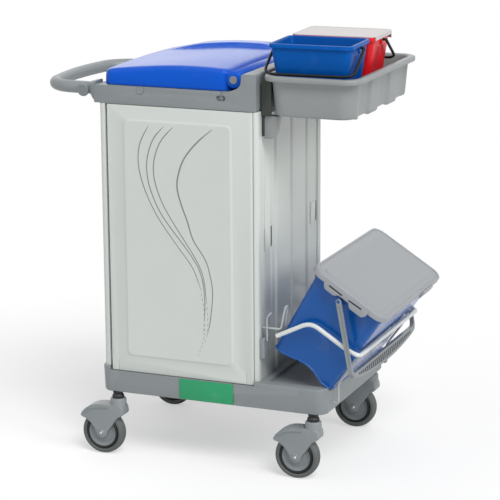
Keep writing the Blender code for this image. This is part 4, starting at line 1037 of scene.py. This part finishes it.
def slanted_cap(faces, start, count, flip):
    """Closes a slanted loop with strips that run straight across it."""
    for i in range(count // 2 - 1):
        quad = (start + i, start + i + 1, start + count - 2 - i, start + count - 1 - i)
        faces.append(quad if flip else tuple(reversed(quad)))


box_rows = [box_ring(*row, on_floor=True) for row in
            ((0.0290, 0.2005, 0.1990, 0.012, 0.0), (0.0244, 0.2050, 0.2040, 0.015, -0.0003),
             (0.0222, 0.2072, 0.2062, 0.017, -0.0016), (0.0220, 0.2074, 0.2064, 0.017, -0.0040),
             (0.0228, 0.2066, 0.2056, 0.017, -0.0052), (0.0240, 0.2054, 0.2044, 0.017, -0.0058))]
for k in range(1, 8):
    t = k / 8
    u0, u1 = 0.0236 + (0.0120 - 0.0236) * t, 0.2058 + (0.2140 - 0.2058) * t
    loop = ring((u0 + u1) / 2, 0, (u1 - u0) / 2, 0.2048 + 0.0157 * t, 0.017 + 0.009 * t, 6, 28, 1)
    box_rows.append([slanted(u, y, (floor_depth(u) - 0.008) * (1 - t) + 0.0310 * t) for u, y in loop])
box_rows += [box_ring(0.0120, 0.2140, 0.2205, 0.026, 0.0310), box_ring(0.0116, 0.2144, 0.2212, 0.0262, 0.0290),
             box_ring(0.0086, 0.2156, 0.2262, 0.0275, 0.0284), box_ring(0.0080, 0.2160, 0.2272, 0.0280, 0.0270),
             box_ring(0.0080, 0.2160, 0.2280, 0.0280, 0.0072), box_ring(0.0086, 0.2154, 0.2274, 0.0275, 0.0060),
             box_ring(0.0110, 0.2130, 0.2250, 0.0250, 0.0058), box_ring(0.0122, 0.2122, 0.2236, 0.0240, 0.0066),
             box_ring(0.0150, 0.2110, 0.2175, 0.0230, 0.0300), box_ring(0.0262, 0.2032, 0.2022, 0.0165, 0.2330),
             box_ring(0.0290, 0.2005, 0.1995, 0.0145, 0.2370)]
verts, faces = skin(box_rows, bottom=False, top=False)
count = len(box_rows[0])
slanted_cap(faces, 0, count, True)
slanted_cap(faces, (len(box_rows) - 1) * count, count, False)
pivot = Vector(slanted(BAIL_PIVOT[0], 0, BAIL_PIVOT[1]))
box_joins = []
for side in (-1, 1):
    pin = [(0, 0.2190), (0.0150, 0.2190), (0.0150, 0.2236), (0.0130, 0.2262), (0.0042, 0.2270), (0.0042, 0.2508),
           (0.0034, 0.2516), (0, 0.2516)]
    box_joins.append(turned([(r, side * h) for r, h in pin], (pivot.x, BOX_MID, pivot.z), "Y", 32))
box = shaped("mop_box_shell", (verts, faces), (), box_joins, sharp=42)
fitted(box, box_blue, "box", "mop_box", like="box_blue")

lid_rows = []
for inset, w, r in ((0.0042, 0.0138, 0.0288), (0.0012, 0.0143, 0.0310), (0.0, 0.0132, 0.0320), (0.0, 0.0016, 0.0320),
                    (0.0006, -0.0002, 0.0316), (0.0020, -0.0016, 0.0308), (0.0042, -0.0020, 0.0298),
                    (0.0056, -0.0016, 0.0292), (0.0068, 0.0004, 0.0285), (0.0082, 0.0007, 0.0278),
                    (0.0094, 0.0001, 0.0270), (0.0112, -0.0006, 0.0262), (0.0215, -0.0006, 0.0200),
                    (0.0228, -0.0010, 0.0190), (0.0240, -0.0022, 0.0180), (0.0254, -0.0027, 0.0170),
                    (0.0300, -0.0027, 0.0140)):
    lid_rows.append(box_ring(inset, BOX_LEN - inset, BOX_HALF - inset, r, w, 2))
lid_under = [box_ring(i, BOX_LEN - i, BOX_HALF - i, r, w, 2) for i, w, r in
             ((0.0042, 0.0138, 0.0288), (0.0052, 0.0032, 0.0280), (0.0064, 0.0026, 0.0270), (0.0300, 0.0026, 0.0140))]
lid_shape = together(skin(lid_rows, bottom=False), skin(lid_under, bottom=False))
mop_lid = shaped("mop_box_lid", lid_shape, sharp=36)
fitted(mop_lid, lid_grey, "box_cover", "mop_lid", like="pale_grey")


def slanted_slab(outline, y0, y1):
    """An outline in the box's slant given thickness across the box."""
    return skin([[slanted(u, y0, w) for u, w in outline], [slanted(u, y1, w) for u, w in outline]])


nose = [(0.2236, -0.0005), (0.2292, 0.0010), (0.2300, 0.0060), (0.2285, 0.0180), (0.2262, 0.0240), (0.2238, 0.0236),
        (0.2238, 0.0120)]
fitted(shaped("lid_finger_nose", slanted_slab(flowing(nose, 1), 0.0690, 0.1450), edge=0.0008, steps=2), lid_grey,
       "box_cover", like="pale_grey")
for side, tag in ((-1, "front"), (1, "rear")):
    out = [(0.0450, 0.0035), (0.1790, 0.0035), (0.1785, 0.0190), (0.1730, 0.0265), (0.1690, 0.0290), (0.1370, 0.0290),
           (0.1310, 0.0265), (0.1240, 0.0180), (0.0930, 0.0180), (0.0850, 0.0250), (0.0810, 0.0265), (0.0570, 0.0262),
           (0.0520, 0.0230), (0.0470, 0.0160)]
    y0, y1 = on_side(side, BOX_HALF + 0.0002, BOX_HALF + 0.0036)
    openings = ([(0.0600, 0.0095), (0.1010, 0.0108), (0.1010, 0.0150), (0.0600, 0.0142)],
                [(0.1210, 0.0106), (0.1600, 0.0094), (0.1600, 0.0136), (0.1210, 0.0148)])
    slots = [slanted_slab(opening, y0 - 0.01, y1 + 0.01) for opening in openings]
    clip = shaped("mop_lid_clip_" + tag, slanted_slab(out, y0, y1), slots, edge=0.0006, steps=2)
    fitted(clip, lid_grey, "box_cover", "lid_clip_" + tag, like="pale_grey")
    # Black plates fill the clip's two openings: painted shade in the slots.
    slot_fills = [slanted_slab(opening, *on_side(side, BOX_HALF + 0.0004, BOX_HALF + 0.0022)) for opening in openings]
    fitted(shaped("clip_slot_seal_" + tag, slot_fills[0], (), slot_fills[1:]), black_moulding, "box_cover",
           like="black_plastic")

# ------------------------------------------------------------------ mop box bail
# The bail is a grey moulding: two grooved arms turn on the box's pins, and between them
# runs a broad bowed grip of two rails, with a ladder of short ribs on a thin web coloured dark grey as painted shade.
bail_grey = moulding("bail grey", tint(132, 137, 139), specular=0.4, roughness=0.40, grain_size=1100.0,
                     grain_height=0.00005, cloud_amount=0.05, dust=0.05)
ACROSS = BAIL_DIR.cross(Vector((0, 1, 0))).normalized()
GRIP_REACH, GRIP_INNER = 0.214, 0.1888
RIB_LONG, RIB_STEP = 0.030, 0.0150


def bail_point(y, r, off=0.0):
    """y across the box, r down the bail from its pins, off its middle plane by a little."""
    return tuple(pivot + BAIL_DIR * r + Vector((0, y, 0)) + ACROSS * off)


def bail_slab(outline, half):
    """An outline in the bail's plane given thickness to both sides of it."""
    return skin([[bail_point(y, r, -half) for y, r in outline], [bail_point(y, r, half) for y, r in outline]])


def grip_edge(t):
    """How far down the bowed outer edge of the grip lies, t from -1 to 1 along it."""
    return 0.2185 - 0.0135 * t * t


def rib_ladder_tree():
    """A rib on every point, all turned alike, each stretched by the point's own reach."""
    tree = bpy.data.node_groups.new("rib ladder", "GeometryNodeTree")
    face = tree.interface
    face.new_socket("Points", in_out="INPUT", socket_type="NodeSocketGeometry")
    face.new_socket("Rib Size", in_out="INPUT", socket_type="NodeSocketVector")
    face.new_socket("Turn", in_out="INPUT", socket_type="NodeSocketVector")
    face.new_socket("Finish", in_out="INPUT", socket_type="NodeSocketMaterial")
    face.new_socket("Ribs", in_out="OUTPUT", socket_type="NodeSocketGeometry")
    node, link = tree.nodes.new, tree.links.new
    given, out = node("NodeGroupInput"), node("NodeGroupOutput")
    spots, rib = node("GeometryNodeMeshToPoints"), node("GeometryNodeMeshCube")
    place = node("GeometryNodeInstanceOnPoints")
    reach, stretch = node("GeometryNodeInputNamedAttribute"), node("ShaderNodeCombineXYZ")
    turn = node("FunctionNodeEulerToRotation")
    real, paint = node("GeometryNodeRealizeInstances"), node("GeometryNodeSetMaterial")
    reach.data_type = "FLOAT"
    reach.inputs["Name"].default_value = "reach"
    stretch.inputs["Y"].default_value = 1.0
    stretch.inputs["Z"].default_value = 1.0
    link(given.outputs["Points"], spots.inputs["Mesh"])
    link(given.outputs["Rib Size"], rib.inputs["Size"])
    link(given.outputs["Turn"], turn.inputs["Euler"])
    link(reach.outputs["Attribute"], stretch.inputs["X"])
    link(spots.outputs["Points"], place.inputs["Points"])
    link(rib.outputs["Mesh"], place.inputs["Instance"])
    link(turn.outputs["Rotation"], place.inputs["Rotation"])
    link(stretch.outputs["Vector"], place.inputs["Scale"])
    link(place.outputs["Instances"], real.inputs["Geometry"])
    link(real.outputs["Geometry"], paint.inputs["Geometry"])
    link(given.outputs["Finish"], paint.inputs["Material"])
    link(paint.outputs["Geometry"], out.inputs["Ribs"])
    return tree


ts = [k / 16.0 for k in range(-16, 17)]
outer = [(-0.2512, 0.1500), (-0.2512, 0.1800), (-0.2504, 0.1856), (-0.2480, 0.1908), (-0.2440, 0.1956),
         (-0.2370, 0.2000)]
inner = [(-0.2456, 0.1500), (-0.2456, 0.1715), (-0.2449, 0.1768), (-0.2428, 0.1816), (-0.2390, 0.1858),
         (-0.2330, 0.1884)]
outer += [(GRIP_REACH * t, grip_edge(t)) for t in ts] + [(-y, r) for y, r in reversed(outer)]
inner += [(GRIP_REACH * t, GRIP_INNER) for t in ts] + [(-y, r) for y, r in reversed(inner)]
window = [(GRIP_REACH * t * 0.97, grip_edge(t * 0.97) - 0.0062) for t in ts]
window += [(GRIP_REACH * t * 0.97, GRIP_INNER + 0.0056) for t in reversed(ts)]
strap = [(0.0066 * cos(radians(a)), 0.0066 * sin(radians(a))) for a in range(90, 271, 15)]
strap += [(0.1720, -0.0058), (0.1720, 0.0058)]
groove = [(0.0120, -0.0028), (0.1640, -0.0028), (0.1660, 0.0), (0.1640, 0.0028), (0.0120, 0.0028), (0.0100, 0.0)]
arms = [skin([[bail_point(y, r, off) for r, off in strap] for y in on_side(side, 0.2456, 0.2512)])
        for side in (-1, 1)]
cuts = [turned([(0, -0.3), (0.0046, -0.3), (0.0046, 0.3), (0, 0.3)], pivot, "Y", 24), bail_slab(window, 0.02)]
cuts += [skin([[bail_point(y, r, off) for r, off in groove] for y in on_side(side, 0.2500, 0.2550)])
         for side in (-1, 1)]
bail = shaped("mop_box_bail", bail_slab(outer + inner[::-1], 0.0056), cuts, arms, edge=0.0008, steps=2, sharp=35)
fitted(bail, bail_grey, "box_handle", "box_bail", like="bail_grey")

# The web between the ribs is coloured dark grey: painted shade for the deep gaps of the ladder.
grip_web_painted_shade = moulding("grip web painted shade grey", tint(58, 62, 66), specular=0.2, roughness=0.55, grain_size=1100.0,
                     grain_height=0.00005, cloud_amount=0.05, dust=0.03)
web = shaped("grip_web", bail_slab(window, 0.0010))
fitted(web, grip_web_painted_shade, "box_handle", like="bail_grey")

spots, spans = [], []
for k in range(-13, 14):
    y = k * RIB_STEP
    edge = grip_edge(y / GRIP_REACH)
    spots.append(bail_point(y, (edge + GRIP_INNER) / 2))
    spans.append((edge - GRIP_INNER - 0.0062) / RIB_LONG)
mesh = bpy.data.meshes.new("grip_ribs")
mesh.from_pydata(spots, [], [])
mesh.attributes.new("reach", "FLOAT", "POINT").data.foreach_set("value", spans)
ribs = bpy.data.objects.new("grip_ribs", mesh)
bpy.context.scene.collection.objects.link(ribs)
lie = Matrix((BAIL_DIR.normalized(), Vector((0, 1, 0)), ACROSS)).transposed().to_euler()
grown("grip_ribs", ribs, rib_ladder_tree(),
      **{"Rib Size": (RIB_LONG, 0.0046, 0.0098), "Turn": tuple(lie), "Finish": bail_grey})
fitted(ribs, bail_grey, "box_handle", like="bail_grey")

# ------------------------------------------------------------------ wire cradle, stay and hooks
# Pale coated steel wire holds the box: a thick frame round it, a thin stay down to the
# base, and small hairpin hooks on the cabinet for mop handles. The stay and hooks take a darker copy of the wire's
# colour, which on the hooks is painted shade.
white_wire = moulding("pale coated wire", tint(208, 213, 212), coat=0.3, roughness=0.30, grain_size=900.0,
                      grain_height=0.00004, cloud_amount=0.03, dust=0.02, rubbing=0.06)
# A darker copy of the pale wire for the thin wires: painted shade on the hooks, a greyer tone on the stay.
grey_tone_and_painted_shade_wire = moulding("greyer wire and painted shade", tint(168, 173, 174), coat=0.2, roughness=0.34, grain_size=900.0,
                     grain_height=0.00004, cloud_amount=0.03, dust=0.02, rubbing=0.06)
WIRE_HALF = 0.232


def mirrored(path):
    """The path, then its mirror image from the far side back."""
    return path + [(x, -y, z) for x, y, z in reversed(path)]


bar = slanted(0.2195, 0, 0.120)
up = slanted(0.0714, 0, 0.126)
knee = slanted(0.185, 0, 0.126)
path = mirrored([(0.1725, -WIRE_HALF, 0.3710), (up[0], -WIRE_HALF, up[2]), (knee[0], -WIRE_HALF, knee[2]),
                 (bar[0], -WIRE_HALF, bar[2])])
fitted(rod("cradle_wire", bend(path, 0.026, 8), 0.0058, white_wire, 20), white_wire, "base", "cradle_frame",
       like="white_wire")
path = mirrored([(0.3085, -0.190, 0.2000), (0.3225, -0.190, 0.2000), (0.3225, -0.190, 0.2500),
                 (bar[0] - 0.0095, -0.190, bar[2] - 0.0060)])
fitted(rod("cradle_stay_wire", bend(path, 0.008, 5), 0.0030, grey_tone_and_painted_shade_wire), grey_tone_and_painted_shade_wire, "base", "cradle_stay",
       like="white_wire")
for side, tag in ((-1, "front"), (1, "rear")):
    path = [(CAB_X[1] + 0.0004, side * 0.206, 0.3820), (0.1735, side * 0.206, 0.3820), (0.1860, side * 0.206, 0.4400),
            (0.1860, side * 0.188, 0.4400), (0.1800, side * 0.188, 0.3860)]
    fitted(rod("hairpin_hook_" + tag, bend(path, 0.006, 5), 0.0030, grey_tone_and_painted_shade_wire), grey_tone_and_painted_shade_wire, "base",
           "cradle_hook_" + tag, like="white_wire")
    path = [(0.1385, side * 0.2125, 0.3500), (0.1385, side * 0.2125, 0.4065), (0.1420, side * 0.2125, 0.4170),
            (0.1510, side * 0.2125, 0.4237)]
    fitted(rod("hook_finger_" + tag, bend(path, 0.010, 6), 0.0022, grey_tone_and_painted_shade_wire, 12), grey_tone_and_painted_shade_wire, "base",
           like="white_wire")
    block = brick(CAB_X[1] + 0.0004, CAB_X[1] + 0.0125, *on_side(side, 0.190, 0.222), 0.303, 0.356)
    block = shaped("hook_foot_" + tag, block, edge=0.002)
    fitted(block, grey_moulding, "base", "hook_block_" + tag, like="cabinet_shell")

# ------------------------------------------------------------------ studio
# A pale seamless floor under even light: a broad key from the front right, a lower lamp
# on the tray end, and two weak fills from the front left and from behind.
floor_mesh = bpy.data.meshes.new("studio_floor")
floor_mesh.from_pydata([(-45, -45, 0), (45, -45, 0), (45, 45, 0), (-45, 45, 0)], [], [(0, 1, 2, 3)])
floor = bpy.data.objects.new("studio_floor", floor_mesh)
bpy.context.scene.collection.objects.link(floor)
paper = bpy.data.materials.new("studio paper")
paper.use_nodes = True
# To the camera half of the paper's white is steady, so the cart's shadow stays a pale grey.
node, link = paper.node_tree.nodes.new, paper.node_tree.links.new
sheet = paper.node_tree.nodes["Principled BSDF"]
sight, shade, glow = node("ShaderNodeLightPath"), node("ShaderNodeMix"), node("ShaderNodeMath")
shade.data_type = "RGBA"
shade.inputs["A"].default_value = (0.93, 0.93, 0.93, 1.0)
shade.inputs["B"].default_value = (0.54, 0.54, 0.54, 1.0)
glow.operation = "MULTIPLY"
glow.inputs[1].default_value = 0.47
link(sight.outputs["Is Camera Ray"], shade.inputs["Factor"])
link(shade.outputs["Result"], sheet.inputs["Base Color"])
link(sight.outputs["Is Camera Ray"], glow.inputs[0])
link(glow.outputs["Value"], sheet.inputs["Emission Strength"])
sheet.inputs["Emission Color"].default_value = (1.0, 1.0, 1.0, 1.0)
sheet.inputs["Roughness"].default_value = 0.9
sheet.inputs["Specular IOR Level"].default_value = 0.0
floor_mesh.materials.append(paper)

world = bpy.data.worlds.new("studio")
bpy.context.scene.world = world
world.use_nodes = True
# The room is white where it is seen or mirrored, and dimmer as a light on the cart.
node, link = world.node_tree.nodes.new, world.node_tree.links.new
back = world.node_tree.nodes["Background"]
back.inputs["Color"].default_value = (1.0, 1.0, 1.0, 1.0)
rays, power = node("ShaderNodeLightPath"), node("ShaderNodeMapRange")
seen, also = node("ShaderNodeMath"), node("ShaderNodeMath")
seen.operation = also.operation = "MAXIMUM"
power.inputs["To Min"].default_value = 0.30
power.inputs["To Max"].default_value = 1.0
link(rays.outputs["Is Camera Ray"], seen.inputs[0])
link(rays.outputs["Is Glossy Ray"], seen.inputs[1])
link(seen.outputs[0], also.inputs[0])
link(rays.outputs["Is Transmission Ray"], also.inputs[1])
link(also.outputs[0], power.inputs["Value"])
link(power.outputs["Result"], back.inputs["Strength"])


def broad_lamp(name, at, strength, spread):
    """Even light from one direction, as from a large window far away."""
    lamp = bpy.data.lights.new(name, "SUN")
    lamp.energy = strength
    lamp.angle = radians(spread)
    obj = bpy.data.objects.new(name, lamp)
    obj.location = at
    obj.rotation_euler = (-Vector(at)).to_track_quat("-Z", "Y").to_euler()
    bpy.context.scene.collection.objects.link(obj)


broad_lamp("key", (2.4, -2.6, 4.0), 1.80, 26)
broad_lamp("side", (3.6, -0.9, 1.9), 0.90, 24)
broad_lamp("fill", (-2.4, -3.4, 3.0), 0.36, 60)
broad_lamp("back", (-2.0, 3.6, 2.6), 0.38, 60)

# The camera stands where the photographer did: in front, to the right, looking down a little.
stand = (2.060, -4.9465, 1.825)
yaw, pitch, roll = radians(22.318), radians(13.6545), radians(-0.3795)
ahead = Vector((-sin(yaw) * cos(pitch), cos(yaw) * cos(pitch), -sin(pitch)))
right = Vector((cos(yaw), sin(yaw), 0.0))
over = right.cross(ahead)
right, over = right * cos(roll) + over * sin(roll), over * cos(roll) - right * sin(roll)
lens = bpy.data.cameras.new("photographer")
lens.lens, lens.sensor_width = 150.83, 36.0
lens.clip_end = 60.0
camera = bpy.data.objects.new("photographer", lens)
camera.matrix_world = Matrix(
    [(right[k], over[k], -ahead[k], stand[k]) for k in range(3)] + [(0, 0, 0, 1)])
bpy.context.scene.collection.objects.link(camera)
bpy.context.scene.camera = camera
bpy.context.scene.view_settings.view_transform = "Standard"
